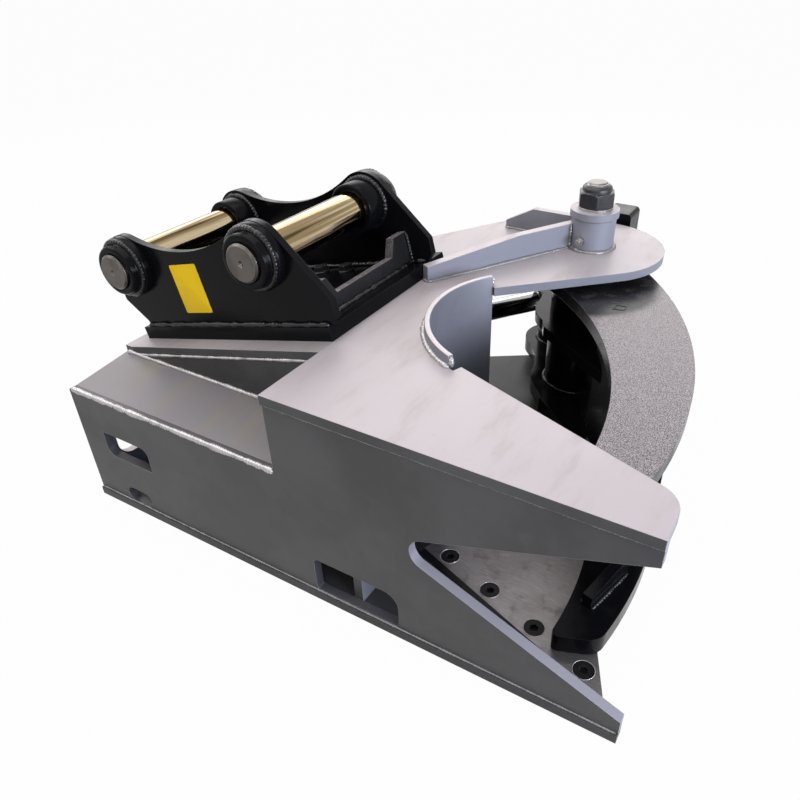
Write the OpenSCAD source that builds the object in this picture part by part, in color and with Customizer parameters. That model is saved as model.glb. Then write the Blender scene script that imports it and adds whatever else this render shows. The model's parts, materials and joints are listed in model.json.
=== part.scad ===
// Excavator tree shear: a welded body with a deep throat, one curved moving jaw turned by a
// hydraulic cylinder, and a two-pin hitch on a sloping plate. Millimetres, Z up.
// X runs towards the prong tips and Y away from the side wall. The origin lies on the floor,
// under the hitch's front edge and midway between its ears.

/* [Body] */
// Height of the body from the floor to the top plate's upper face
body_h = 480; // [460:5:500]
// Thickness of the body's plates
plate_t = 20; // [16:1:22]
// Length of the rear box behind the step
rear_len = 596; // [580:4:620]
// Distance from the middle of the hitch to the side wall's outer face
near_half = 420; // [412:2:430]
// Distance of the side wall's outer face in from the edges of the top and bottom plates
wall_step = 5; // [4:0.5:7]
// Distance from the middle of the hitch to the body's far corner at the rear
far_half = 262; // [250:4:280]
// Distance of the shoulder at the side wall below the top plate's face
shoulder_drop = 178; // [174:2:190]
// Rise of the shoulder plate towards the hitch
shoulder_rise = 15; // [5:1:18]
// Distance from the middle of the hitch to the riser under the mounting plate
riser_y = 248; // [244:2:270]
// Slope of the mounting plate in degrees
mount_angle = 14.25; // [13.5:0.25:15]
// Gap between the rear wall's face and the rear end of the mounting plate
mount_setback = 20; // [18:1:26]

/* [Windows] */
// Distance of the hose window from the rear end
port_back = 75; // [60:5:90]
// Length of the hose window
port_l = 141; // [120:3:160]
// Height of the hose window's lower edge
port_low = 147; // [140:1:154]
// Height of the hose window itself
port_h = 63; // [56:1:70]
// Distance of the lifting slot from the rear end
slot_back = 101; // [90:1:110]
// Length of the lifting slot
slot_l = 80; // [70:2:90]
// Height of the lifting slot itself
slot_h = 42; // [36:1:46]
// Distance of the chip window from the step along X
drain_x = 69; // [60:1:78]
// Length of the chip window
drain_l = 200; // [180:5:220]
// Height of the chip window itself
drain_h = 86; // [76:2:94]
// Height of the edge left under the lifting slot and the chip window
sill = 2; // [2:1:6]

/* [Prongs and throat] */
// Reach of the upper prong
upper_reach = 712; // [700:4:730]
// Radius of the upper prong's tip
prong_r = 56; // [48:2:62]
// Reach of the lower prong
lower_reach = 708; // [704:4:730]
// Middle of the upper throat along X
throat_x = 337; // [330:1:345]
// Middle of the upper throat along Y
throat_y = 42; // [36:1:48]
// Inner radius of the upper throat wall
throat_r = 218; // [212:2:222]
// Thickness of the throat wall
throat_t = 20; // [14:1:22]
// Angle at which the throat wall ends on the tongue side
throat_far_angle = 143; // [140:1:146]
// Angle at which the throat wall ends on the prong side
throat_near_angle = 250; // [246:1:252]
// Height of the throat wall's rim above the top plate
throat_rim = 24; // [12:1:32]
// Height of the throat wall's lower edge above the floor
throat_low = 105; // [102:1:120]
// Middle of the lower throat along X
bite_x = 467; // [460:1:475]
// Middle of the lower throat along Y
bite_y = 200; // [194:1:206]
// Radius of the lower throat
bite_r = 190; // [184:1:194]
// Height of the mouth's lower edge in the side wall
mouth_low = 53; // [51:1:60]
// Distance of the mouth's upper edge in the side wall below the top plate's face
mouth_drop = 56; // [48:2:68]
// Distance along X from the step to the middle of the notch between the prongs
notch_x = 334; // [326:2:342]
// Height of the notch's middle
notch_z = 249; // [242:1:256]
// Radius at the bottom of the notch
notch_r = 35; // [28:1:40]

/* [Pivot] */
// Place of the jaw's pivot along X
pivot_x = 260; // [256:1:264]
// Place of the jaw's pivot along Y
pivot_y = 516; // [510:1:520]
// Radius of the top plate's tongue round the pivot
tongue_r = 178; // [168:2:184]
// Radius of the bottom plate's lobe round the pivot
lobe_r = 258; // [246:2:262]
// Radius of the pivot pin between the plates
pivot_r = 50; // [44:1:52]
// Radius of the pivot pin in the top boss
neck_r = 34; // [30:1:38]
// Radius of the pin's threaded end
thread_r = 24; // [20:1:26]
// Height of the threaded end above the nut
thread_show = 19; // [12:1:26]
// Outer radius of the top boss
boss_r = 54; // [50:1:60]
// Height of the top boss
boss_h = 78; // [70:1:86]
// Outer radius of the collar on the boss
collar_r = 59; // [56:1:66]
// Thickness of the collar on the boss
collar_t = 17; // [12:1:20]
// Thickness of the washer under the nut
washer_t = 6; // [4:1:8]
// Width of the nut across its flats
nut_af = 75; // [66:1:80]
// Height of the nut
nut_h = 38; // [32:1:42]
// Radial clearance of the pins that turn in a bore
run_gap = 0.05; // [0.03:0.01:0.08]
// Clearance between neighbouring faces of different bodies
face_gap = 0.3; // [0.2:0.1:0.4]
// Radial clearance of the bolts in their holes
bolt_gap = 0.5; // [0.3:0.1:0.8]

/* [Ribs on the tongue] */
// Thickness of both ribs
rib_t = 20; // [14:1:24]
// Height of the ribs at the boss
rib_h = 60; // [50:1:64]
// Height of the long rib's low end
rib_low = 36; // [24:1:44]
// Start of the long rib along X
near_rib_x = 18; // [18:1:24]
// Start of the long rib along Y
near_rib_y = 127; // [122:1:132]
// Direction of the long rib in degrees
near_rib_angle = 60.4; // [58:0.1:61]
// Start of the short rib along X
far_rib_x = 19; // [10:1:30]
// Distance of the short rib's middle beyond the pivot
far_rib_off = 24; // [16:1:28]
// Height of the short rib's low end
far_rib_low = 20; // [12:1:28]

/* [Fixed blade] */
// Thickness of the fixed blade
blade_t = 30; // [24:1:30]
// Angle of the blade's back edge in degrees
blade_angle = 19.8; // [19:0.2:20.6]
// Distance of the first blade bolt behind the lower prong's end
blade_set = 434; // [428:1:440]
// Place of the first blade bolt along Y
blade_bolt_y = -222; // [-228:1:-216]
// Spacing of the blade bolts
blade_pitch = 121.6; // [114:0.8:124]
// Distance from the bolts to the blade's back edge
blade_edge = 45; // [38:1:50]
// Width of the blade's hook round the lower throat
hook_w = 110; // [96:2:120]
// Radius of the blade bolts' heads
blade_head_r = 20; // [16:1:21]
// Radius of the blade bolts' shanks
blade_shank_r = 10; // [8:1:12]

/* [Jaw] */
// Middle of the jaw's inner arc along X
inner_x = -252; // [-255:1:-249]
// Middle of the jaw's inner arc along Y
inner_y = -278; // [-281:1:-275]
// Radius of the jaw's inner arc
inner_r = 798; // [794:1:802]
// Middle of the jaw's outer arc along X
outer_x = -326; // [-330:1:-322]
// Middle of the jaw's outer arc along Y
outer_y = -136; // [-140:1:-132]
// Radius of the jaw's outer arc
outer_r = 982; // [976:1:988]
// Distance from the pivot to the jaw's tip
tip_r = 901; // [890:1:905]
// Radius of the jaw's plates round the pivot
hub_r = 124; // [114:2:128]
// How far the jaw blade's outer edge lies inside the upper plate's
blade_in = 13; // [10:1:16]
// Radius of the tip's outer corner
tip_corner = 40; // [32:1:46]
// Radius of the tip's inner corner
tip_inner = 12; // [8:1:16]
// Height of the jaw blade's lower face
jaw_low = 53; // [51:1:54]
// Thickness of the jaw blade
jaw_blade_t = 40; // [34:1:44]
// Thickness of the jaw's upper plate
jaw_plate_t = 30; // [24:1:32]
// Gap between the jaw's upper plate and the tongue, filled by the thrust ring
thrust_t = 20; // [16:1:24]
// Outer radius of the thrust ring and the lower boss
thrust_r = 96; // [90:1:104]
// Outer radius of the hub tube
tube_r = 85; // [80:1:90]
// Radius of the bushes on the outside
bush_r = 62; // [58:1:66]
// Length of each bush
bush_l = 100; // [80:2:120]
// Thickness of the jaw's curved wall
jaw_wall_t = 20; // [16:1:24]
// Radius of the jaw wall's outer face from the inner arc's middle
jaw_wall_r = 860; // [852:1:866]
// Direction from the inner arc's middle at which the wall turns to the hub
wall_turn = 41; // [39:1:43]
// Direction from the inner arc's middle at which the wall ends near the tip
wall_end = 12.5; // [12:0.5:16]
// Thickness of the gussets behind the wall
gusset_t = 16; // [12:1:20]

/* [Lever and cylinder] */
// Place of the lever pin along X
lever_x = 125; // [122:1:128]
// Place of the lever pin along Y
lever_y = 712; // [709:1:715]
// Direction of the cylinder in degrees
cylinder_angle = 55; // [54:0.5:56]
// Distance between the cylinder's pins as shown
pin_to_pin = 770; // [764:1:776]
// Height of the cylinder's axis above the floor
cylinder_z = 234; // [232:1:238]
// Radius of the lever pin
lever_pin_r = 30; // [26:1:32]
// Outer radius of the lever plate's end
lever_r = 80; // [74:1:84]
// Outer radius of the jaw blade's end under the lever pin
tail_r = 95; // [88:1:100]
// Radius of the lever's hollow waist
waist_r = 240; // [200:10:280]
// Thickness of the lever plate
lever_t = 28; // [24:1:32]
// Thickness of the rod's eye
eye_t = 66; // [60:1:68]
// Outer radius of the rod's eye
eye_r = 62; // [56:1:66]
// Radius of the piston rod
rod_r = 29; // [26:1:32]
// Outer radius of the barrel
barrel_r = 70; // [66:1:74]
// Wall of the barrel
barrel_wall = 13; // [10:1:15]
// Distance from the base pin to the front of the gland
gland_at = 485; // [476:1:490]
// Distance from the lever pin to the far end of the rod
rod_len = 460; // [456:1:464]
// Radius of the base pin
base_pin_r = 25; // [22:1:27]
// Radius of the hole in the barrel's base eye, wide because the real linkage is opened here
base_bore_r = 52; // [51.5:0.5:53]

/* [Hitch] */
// How much shorter the hitch's flange is than the rear box
hitch_back = 12; // [8:1:20]
// Thickness of the hitch's flange
flange_t = 29; // [25:1:32]
// Distance from the middle to the outer faces of the ears
ear_half = 190; // [186:1:196]
// Thickness of the ears
ear_t = 16; // [14:1:20]
// Distance of the front pin behind the step, along the slope
front_pin_u = 139; // [134:1:144]
// Distance between the two hitch pins
pin_spacing = 416; // [404:2:424]
// Height of the hitch pins above the mounting plate
pin_w = 177; // [170:1:184]
// Radius of the hitch pins
hitch_pin_r = 40; // [35:1:42]
// Half of the hitch pins' length
pin_half = 239; // [234:1:244]
// Radius of the ears round the pins
ear_r = 70; // [64:1:74]
// Height of the lowest point of the ears between the pins
saddle_w = 197; // [188:1:202]
// Outer radius of the collars round the pins
ring_r = 58; // [54:1:62]
// Length of the collars outside the ears
ring_out = 41; // [34:1:44]
// Length of the collars on the near ear's inner face
ring_near = 12; // [10:1:20]
// Length of the collars on the far ear's inner face
ring_far = 56; // [46:1:60]
// Distance of the cross plate's front face behind the step
cross_u = 45; // [40:1:50]
// Height of the cross plate's middle above the mounting plate
cross_w = 65; // [56:1:72]
// Height of the cross plate's ends above the mounting plate
cross_end_w = 103; // [96:1:110]
// Spacing of the flange bolts
flange_pitch = 80; // [70:2:84]

/* [Hidden] */
$fn = 96;
body_grey = "#8f9092";
jaw_black = "#1d1e20";
steel = "#b4b4b0";
gold = "#c9a24a";

// How far a tangent line's end lies inside its circle
inset = 0.1;

// Levels and slopes
top_low = body_h - plate_t;
shoulder_h = body_h - shoulder_drop;
mouth_high = body_h - mouth_drop;
slope = tan(mount_angle);
mount_drop = plate_t / cos(mount_angle);
shoulder_in = near_half - plate_t - wall_step;
rear_in = rear_len - plate_t;
mount_end = rear_len - mount_setback;
prong_x = upper_reach - prong_r;

// Plan points that the plates share
pivot = [pivot_x, pivot_y];
throat = [throat_x, throat_y];
bite = [bite_x, bite_y];
rear_far = [-rear_len, far_half];
tip = [prong_x, prong_r - near_half];
throat_out = throat_r + throat_t;
wall_near_end = polar(throat, throat_r, throat_near_angle);
wall_far_end = polar(throat, throat_r, throat_far_angle);
tongue_near = tangent_from(wall_far_end, pivot, tongue_r, -1);
tongue_far = tangent_from(rear_far, pivot, tongue_r, 1);
far_slope = (tongue_far[1] - rear_far[1]) / (tongue_far[0] - rear_far[0]);
far_angle = atan(far_slope);

// The lower prong's blunt end and its cutting edge
blunt = [-39, 7];
prong_end = [lower_reach, -shoulder_in];
edge_start = prong_end + blunt;
edge_angle = 115.4;
edge_end = line_meets(edge_start, edge_angle, bite, bite_r, -1);
tongue_angle = 45;
bite_far = polar(bite, bite_r - inset, 90 + tongue_angle);
lobe_cut = 300;

// The cylinder and its pins
lever = [lever_x, lever_y];
cylinder_dir = [cos(cylinder_angle), sin(cylinder_angle)];
base = lever - pin_to_pin * cylinder_dir;
base_eye_r = base_bore_r + 22;
jaw_top = top_low - thrust_t;
jaw_plate_low = jaw_top - jaw_plate_t;
jaw_floor = jaw_low + jaw_blade_t;
lever_low = cylinder_z + eye_t / 2 + 5;

// The jaw's wall and its turn to the hub
jaw_inner = [inner_x, inner_y];
jaw_outer = [outer_x, outer_y];
wall_turn_at = polar(jaw_inner, jaw_wall_r - jaw_wall_t / 2, wall_turn);
web_angle = atan2(wall_turn_at[1] - pivot_y, wall_turn_at[0] - pivot_x);
web_len = norm(wall_turn_at - pivot);
far_away = 1500;

// The hitch's pins along its slope
front_u = -front_pin_u;
rear_u = front_u - pin_spacing;
hitch_front = -2;
hitch_len = rear_len - hitch_back;
hitch_rear = hitch_front - hitch_len;

function polar(c, r, a) = [c[0] + r * cos(a), c[1] + r * sin(a)];

// Height of the mounting plate's upper face and of the far edge's line at a given x
function mount_z(x) = body_h + slope * x;
function far_y(x) = far_half + far_slope * (x + rear_len);

// Where a line from p touches the circle of radius r round c, on the left (1) or the right (-1).
// The end lies a hair inside the circle, so that the line and the circle cross cleanly.
function tangent_from(p, c, r, side) =
    let (d = norm(c - p), in = r - inset, a = atan2(c[1] - p[1], c[0] - p[0]) + side * asin(in / d))
    polar(p, sqrt(d * d - in * in), a);

// The point d beyond c on the line from the circle's middle m, where a round of radius d touches it
function touch(m, c, d) = c + d * (c - m) / norm(c - m);

// The point on the line from a to b that lies d past b
function past(a, b, d) = b + d * (b - a) / norm(b - a);

// Where the line from p at the angle a meets the circle, first (-1) or last (1)
function line_meets(p, a, c, r, side) =
    let (u = [cos(a), sin(a)], m = (c - p) * u, h = norm(c - p - m * u))
    p + (m + side * sqrt(r * r - h * h)) * u;

// Where two circles meet, on the left of the line between them (1) or on its right (-1)
function circles_meet(a, ra, b, rb, side) =
    let (d = norm(b - a), u = (b - a) / d, m = (ra * ra - rb * rb + d * d) / (2 * d))
    a + m * u + side * sqrt(ra * ra - m * m) * [-u[1], u[0]];

module slab(z0, z1) {
    translate([0, 0, z0]) linear_extrude(z1 - z0) children();
}

// A profile of x and z, drawn out along y
module along_y(y0, y1) {
    translate([0, y1, 0]) rotate([90, 0, 0]) linear_extrude(y1 - y0) children();
}

// A profile of y and z, drawn out along x
module along_x(x0, x1) {
    translate([x0, 0, 0]) rotate([90, 0, 90]) linear_extrude(x1 - x0) children();
}

module disc(c, r) {
    translate(c) circle(r);
}

module tube(c, r_out, r_in, z0, z1) {
    slab(z0, z1) difference() {
        disc(c, r_out);
        disc(c, r_in);
    }
}

module pie(c, r, a0, a1) {
    mid = (a0 + a1) / 2;
    intersection() {
        disc(c, r);
        polygon([c, polar(c, 3 * r, a0), polar(c, 3 * r, mid), polar(c, 3 * r, a1)]);
    }
}

// Everything below the mounting plate's lower face
module under_mount(y0, y1) {
    along_y(y0, y1) polygon([
        [-rear_len, plate_t], [0, plate_t],
        [0, body_h - mount_drop], [-rear_len, mount_z(-rear_len) - mount_drop]
    ]);
}

module on_slope() {
    translate([0, 0, body_h]) rotate([0, -mount_angle, 0]) children();
}

// The rear box

module bottom_outline() {
    lobe_far = tangent_from(rear_far, pivot, lobe_r, 1);
    difference() {
        union() {
            polygon([
                [-rear_len, -near_half], [lower_reach, -near_half], prong_end, edge_start, edge_end,
                bite, bite_far, line_meets(bite_far, tongue_angle, pivot, lobe_r, 1), pivot,
                lobe_far, rear_far
            ]);
            disc(pivot, lobe_r);
        }
        disc(bite, bite_r);
        translate(bite_far) rotate(tongue_angle) translate([0, -lobe_cut])
            square([2 * lobe_r, lobe_cut]);
    }
}

module bottom_plate() {
    color(body_grey) difference() {
        slab(0, plate_t) bottom_outline();
        slab(-1, plate_t + 1) {
            disc(pivot, pivot_r + run_gap);
            blade_bolt_places() circle(blade_shank_r + bolt_gap);
        }
    }
}

module side_outline() {
    notch = [notch_x, notch_z];
    low = tangent_from([lower_reach, mouth_low], notch, notch_r, 1);
    high = tangent_from([upper_reach, mouth_high], notch, notch_r, -1);
    difference() {
        polygon([
            [-rear_len, plate_t], [lower_reach, plate_t], [lower_reach, mouth_low], low, notch, high,
            [upper_reach, mouth_high], [upper_reach, top_low], [0, top_low], [0, shoulder_h],
            [-rear_len, shoulder_h]
        ]);
        disc(notch, notch_r);
    }
}

// A box with its own radius at each corner, from the lower left and round to the upper left
module soft_box(x0, z0, x1, z1, r) {
    corners = [[x0, z0, 1, 1], [x1, z0, -1, 1], [x1, z1, -1, -1], [x0, z1, 1, -1]];
    difference() {
        translate([x0, z0]) square([x1 - x0, z1 - z0]);
        for (i = [0:3]) if (r[i] > 0) translate([corners[i][0], corners[i][1]])
            scale([corners[i][2], corners[i][3]]) difference() {
                translate([-1, -1]) square(r[i] + 1);
                translate([r[i], r[i]]) circle(r[i]);
            }
    }
}

module side_wall() {
    port_x = port_back - rear_len;
    slot_x = slot_back - rear_len;
    slot_low = plate_t + sill;
    drain_low = slot_low + 2;
    color(body_grey) along_y(-shoulder_in - plate_t, -shoulder_in) difference() {
        side_outline();
        soft_box(port_x, port_low, port_x + port_l, port_low + port_h, [20, 6, 20, 0]);
        soft_box(slot_x, slot_low, slot_x + slot_l, slot_low + slot_h, slot_h / 2 * [1, 1, 1, 1]);
        soft_box(drain_x, drain_low, drain_x + drain_l, drain_low + drain_h, [6, 10, 34, 12]);
    }
}

module top_outline() {
    prong_edge = tangent_from(wall_near_end, tip, prong_r, 1);
    // Both edges run on under the throat wall, whose outline then cuts them off
    under = throat_t / 2;
    difference() {
        union() {
            polygon([
                [0, -near_half], [upper_reach, -near_half], [upper_reach, tip[1]], tip, prong_edge,
                past(prong_edge, wall_near_end, under), past(tongue_near, wall_far_end, under),
                tongue_near, pivot, tongue_far, [0, far_y(0)]
            ]);
            disc(tip, prong_r);
            disc(pivot, tongue_r);
        }
        pie(throat, throat_out, throat_far_angle, throat_near_angle);
    }
}

module top_plate() {
    color(body_grey) slab(top_low, body_h) difference() {
        top_outline();
        disc(pivot, neck_r + run_gap);
    }
}

module shoulder_plate() {
    drop = plate_t;
    color(body_grey) along_x(-rear_len, 0) polygon([
        [-shoulder_in, shoulder_h - drop], [-riser_y, shoulder_h + shoulder_rise - drop],
        [-riser_y, shoulder_h + shoulder_rise], [-shoulder_in, shoulder_h]
    ]);
}

module inner_web() {
    hole_r = 60;
    hole_z = 150;
    color(body_grey) difference() {
        intersection() {
            under_mount(-riser_y, plate_t - riser_y);
            along_y(-riser_y, plate_t - riser_y) translate([-rear_in, 0]) square([rear_in, body_h]);
        }
        for (x = [156 - rear_len, -160]) translate([x, plate_t - riser_y + 1, hole_z]) rotate([90, 0, 0])
            cylinder(r = hole_r, h = plate_t + 2);
    }
}

module step_wall() {
    color(body_grey) along_x(0, plate_t) polygon([
        [-shoulder_in, shoulder_h - 2 * plate_t], [plate_t - riser_y, shoulder_h - 2 * plate_t],
        [plate_t - riser_y, top_low], [-shoulder_in, top_low]
    ]);
}

module mid_wall() {
    mid_far = 320;
    color(body_grey) intersection() {
        under_mount(plate_t - riser_y, mid_far);
        slab(0, body_h) translate([-plate_t, -near_half]) square([plate_t, 2 * near_half]);
    }
}

module front_web() {
    web_x = 150;
    hole_r = 55;
    color(body_grey) difference() {
        slab(plate_t, top_low) difference() {
            translate([web_x, -shoulder_in]) square([plate_t, shoulder_in]);
            disc(throat, throat_out);
        }
        translate([web_x - 1, -290, body_h / 2]) rotate([0, 90, 0])
            cylinder(r = hole_r, h = plate_t + 2);
    }
}

module mount_plate() {
    color(body_grey) difference() {
        intersection() {
            slab(0, body_h) polygon([
                [-mount_end, -riser_y], [0, -riser_y], [0, far_y(0)], [-mount_end, far_y(-mount_end)]
            ]);
            along_y(-near_half, 2 * near_half) polygon([
                [-mount_end, mount_z(-mount_end) - mount_drop], [0, body_h - mount_drop],
                [0, body_h], [-mount_end, mount_z(-mount_end)]
            ]);
        }
        flange_bolt_holes();
    }
}

module throat_wall() {
    color(body_grey) slab(throat_low, body_h + throat_rim) difference() {
        pie(throat, throat_out, throat_far_angle, throat_near_angle);
        disc(throat, throat_r);
    }
}

module rear_wall() {
    opening = [-357, 76, -267, 236];
    opening_r = 40;
    color(body_grey) difference() {
        intersection() {
            along_x(-rear_len, -rear_in) polygon([
                [-shoulder_in, plate_t], [far_half + plate_t, plate_t],
                [far_half + plate_t, mount_z(-mount_end)], [-riser_y, mount_z(-mount_end)],
                [-riser_y, shoulder_h + shoulder_rise - plate_t], [-shoulder_in, shoulder_h - plate_t]
            ]);
            slab(0, body_h) polygon([
                [-rear_len, -near_half], [-rear_in, -near_half], [-rear_in, far_y(-rear_in)], rear_far
            ]);
        }
        along_x(-rear_len - 1, 1 - rear_in)
            soft_box(opening[0], opening[1], opening[2], opening[3], opening_r * [1, 1, 1, 1]);
        along_x(-rear_len - 1, 1 - rear_in)
            soft_box(-140, 90, 140, 240, opening_r * [1, 1, 1, 1]);
    }
}

module far_wall() {
    wall_x = -190;
    across = plate_t / cos(far_angle);
    color(body_grey) intersection() {
        slab(plate_t, body_h) polygon([
            [-rear_in, far_y(-rear_in) - across], [wall_x, far_y(wall_x) - across],
            [wall_x, far_y(wall_x)], [-rear_in, far_y(-rear_in)]
        ]);
        under_mount(0, 2 * near_half);
    }
}

// The tongue and its pivot

// A rib that starts low, rises to its full height at the bend and ends at the boss
module rib(start, angle, low, bend, side) {
    reach = 420;
    color(body_grey) difference() {
        translate([start[0], start[1], body_h]) rotate([90, 0, angle]) translate([0, 0, side])
            linear_extrude(rib_t) polygon([[0, 0], [reach, 0], [reach, rib_h], [bend, rib_h], [0, low]]);
        slab(body_h - 1, body_h + boss_h) {
            disc(pivot, boss_r);
            translate(pivot) rotate(angle) translate([0, -far_away / 2]) square(far_away);
        }
    }
}

module near_rib() {
    rib([near_rib_x, near_rib_y], near_rib_angle, rib_low, 250, -rib_t);
}

module far_rib() {
    rib([far_rib_x, pivot_y + far_rib_off], 0, far_rib_low, 75, -rib_t / 2);
}

module pivot_boss() {
    color(body_grey) difference() {
        tube(pivot, boss_r, neck_r + run_gap, body_h, body_h + boss_h);
        lock_place() cylinder(r = lock_r + bolt_gap, h = boss_r);
    }
}

lock_angle = -100;
lock_z = body_h + 28;
lock_r = 6;

module lock_place() {
    translate([pivot_x, pivot_y, lock_z]) rotate([0, 90, lock_angle]) children();
}

module lock_bolt() {
    nut_out = boss_r + 9;
    color(steel) lock_place() {
        translate([0, 0, neck_r - 6]) cylinder(r = lock_r, h = nut_out + 8 - neck_r + 6);
        translate([0, 0, boss_r]) difference() {
            cylinder(r = 11, h = 9, $fn = 6);
            translate([0, 0, -1]) cylinder(r = lock_r, h = 11);
        }
    }
}

module pivot_collar() {
    color(body_grey) tube(pivot, collar_r, neck_r + run_gap, body_h + boss_h, body_h + boss_h + collar_t);
}

washer_z = body_h + boss_h + collar_t;

module pivot_washer() {
    color(steel) tube(pivot, nut_af / 2 + 4, thread_r + bolt_gap, washer_z, washer_z + washer_t);
}

module pivot_nut() {
    nut_z = washer_z + washer_t;
    corner_r = nut_af / 2 / cos(30);
    color("#2f3032") difference() {
        intersection() {
            translate([pivot_x, pivot_y, nut_z]) rotate(12) cylinder(r = corner_r, h = nut_h, $fn = 6);
            translate([pivot_x, pivot_y, nut_z]) rotate_extrude() polygon([
                [0, 0], [nut_af / 2, 0], [corner_r + 1, 4], [corner_r + 1, nut_h - 4],
                [nut_af / 2, nut_h], [0, nut_h]
            ]);
        }
        slab(nut_z - 1, nut_z + nut_h + 1) disc(pivot, thread_r + run_gap);
    }
}

module pivot_pin() {
    thread_top = washer_z + washer_t + nut_h + thread_show;
    foot = 3;
    chamfer = 3;
    color(steel) difference() {
        translate([pivot_x, pivot_y, 0]) rotate_extrude() polygon([
            [0, foot], [pivot_r - chamfer, foot], [pivot_r, foot + chamfer], [pivot_r, top_low],
            [neck_r, top_low], [neck_r, washer_z - 1], [thread_r, washer_z - 1],
            [thread_r, thread_top - chamfer], [thread_r - chamfer, thread_top], [0, thread_top]
        ]);
        lock_place() translate([0, 0, neck_r - 7]) cylinder(r = lock_r + bolt_gap, h = boss_r);
    }
}

module lower_boss() {
    color(body_grey) tube(pivot, thrust_r, pivot_r + run_gap, plate_t, jaw_low - face_gap);
}

// The fixed blade

blade_start = [lower_reach - blade_set, blade_bolt_y];
hook_places = [210, 184, 158];

module blade_bolt_places() {
    for (i = [0:3]) translate(blade_start) rotate(-blade_angle) translate([i * blade_pitch, 0]) children();
    for (a = hook_places) translate(polar(bite, bite_r + hook_w / 2, a)) children();
}

module blade_outline() {
    back = blade_start - blade_edge * [sin(blade_angle), cos(blade_angle)];
    run = [cos(blade_angle), -sin(blade_angle)];
    up = [sin(blade_angle), cos(blade_angle)];
    back_start = back - 1.2 * blade_edge * run;
    hook_r = bite_r + hook_w;
    point = 4;
    back_end = back + ((edge_start[0] - point - back[0]) / run[0]) * run;
    difference() {
        union() {
            polygon([back_start, back_end, edge_start, edge_end, bite, back_start + 4 * blade_edge * up]);
            pie(bite, hook_r, 90 + tongue_angle, 245);
        }
        disc(bite, bite_r);
        disc(pivot, thrust_r + 4);
        translate([-far_away, -shoulder_in - far_away]) square([2 * far_away, far_away]);
    }
}

module fixed_blade() {
    head_depth = 13;
    color(steel) difference() {
        slab(plate_t, plate_t + blade_t) blade_outline();
        slab(plate_t - 1, plate_t + blade_t + 1)
            blade_bolt_places() circle(blade_shank_r + bolt_gap);
        slab(plate_t + blade_t - head_depth, plate_t + blade_t + 1)
            blade_bolt_places() circle(blade_head_r + bolt_gap);
    }
}

module blade_bolts() {
    head_depth = 13;
    top = plate_t + blade_t - 0.5;
    color("#17181a") difference() {
        union() {
            slab(plate_t + blade_t - head_depth, top) blade_bolt_places() circle(blade_head_r);
            slab(3, top) blade_bolt_places() circle(blade_shank_r);
        }
        slab(top - 8, top + 1) blade_bolt_places() circle(9, $fn = 6);
    }
}

// The cylinder's bearing in the body

base_pin_l = 60;

module base_bosses() {
    boss = base_bore_r + 8;
    neck = base_pin_r + 16;
    low_top = cylinder_z - eye_t / 2 - 3;
    high_low = cylinder_z + eye_t / 2 + 3;
    color(body_grey) difference() {
        union() {
            slab(plate_t, low_top) disc(base, boss);
            slab(high_low, high_low + base_pin_l) disc(base, boss);
            intersection() {
                slab(high_low, body_h) disc(base, neck);
                under_mount(-near_half, 2 * near_half);
            }
        }
        slab(plate_t + 20, high_low + base_pin_l) disc(base, base_pin_r + run_gap);
    }
}

module base_pin() {
    color(steel) slab(plate_t + 20, cylinder_z + eye_t / 2 + base_pin_l) disc(base, base_pin_r);
}

// The hitch

module flange_bolt_places() {
    rows = 4;
    row_y = 140;
    first_u = front_u - 81;
    on_slope() for (side = [-1, 1]) for (i = [0:rows - 1])
        translate([first_u - i * flange_pitch, side * row_y, 0]) children();
}

module flange_bolt_holes() {
    flange_bolt_places() translate([0, 0, -plate_t - 5])
        cylinder(r = 10 + bolt_gap, h = plate_t + flange_t + 10);
}

module hitch_bolts() {
    color("#2f3032") flange_bolt_places() {
        translate([0, 0, -plate_t - 18]) cylinder(r = 10, h = plate_t + flange_t + 20);
        translate([0, 0, flange_t]) tube([0, 0], 19, 10, 0, 3);
        translate([0, 0, flange_t + 3]) difference() {
            cylinder(r = 17.3, h = 13, $fn = 6);
            translate([0, 0, -1]) cylinder(r = 10, h = 2);
        }
        translate([0, 0, -plate_t - 16]) difference() {
            cylinder(r = 17.3, h = 16, $fn = 6);
            translate([0, 0, -1]) cylinder(r = 10, h = 18);
        }
    }
}

module hitch_base() {
    flange_far = ear_half + 50;
    flange_near = -ear_half - 11;
    lift = 0.05;
    color(jaw_black) difference() {
        on_slope() translate([hitch_rear, flange_near, lift])
            cube([hitch_len, flange_far - flange_near, flange_t - lift]);
        flange_bolt_holes();
    }
}

// The saddle between the pins is one arc that runs smoothly into the rounds at both ends
module ear_outline() {
    front = [front_u, pin_w];
    rear = [rear_u, pin_w];
    sink = saddle_w - pin_w;
    half = pin_spacing / 2;
    saddle_r = (half * half + sink * sink - ear_r * ear_r) / (2 * (ear_r - sink));
    saddle = [front_u - half, saddle_w + saddle_r];
    front_touch = front + (ear_r - inset) * (saddle - front) / norm(saddle - front);
    rear_touch = rear + (ear_r - inset) * (saddle - rear) / norm(saddle - rear);
    nose = [hitch_front + 16, flange_t + 53];
    nose_foot = flange_t + 16;
    heel_u = rear_u - 19;
    heel_foot = flange_t + 11;
    heel_top = flange_t + 67;
    difference() {
        union() {
            polygon([
                [heel_u, flange_t], [hitch_front, flange_t], [nose[0], nose_foot], nose,
                tangent_from(nose, front, ear_r, -1), front, front_touch, rear_touch, rear,
                [rear_u - ear_r + inset, pin_w], [rear_u - ear_r + inset, heel_top], [heel_u, heel_foot]
            ]);
            disc(front, ear_r);
            disc(rear, ear_r);
        }
        disc(saddle, saddle_r);
        disc(front, hitch_pin_r + face_gap);
        disc(rear, hitch_pin_r + face_gap);
    }
}

module near_ear() {
    color(jaw_black) on_slope() along_y(-ear_half, ear_t - ear_half) ear_outline();
}

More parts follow.
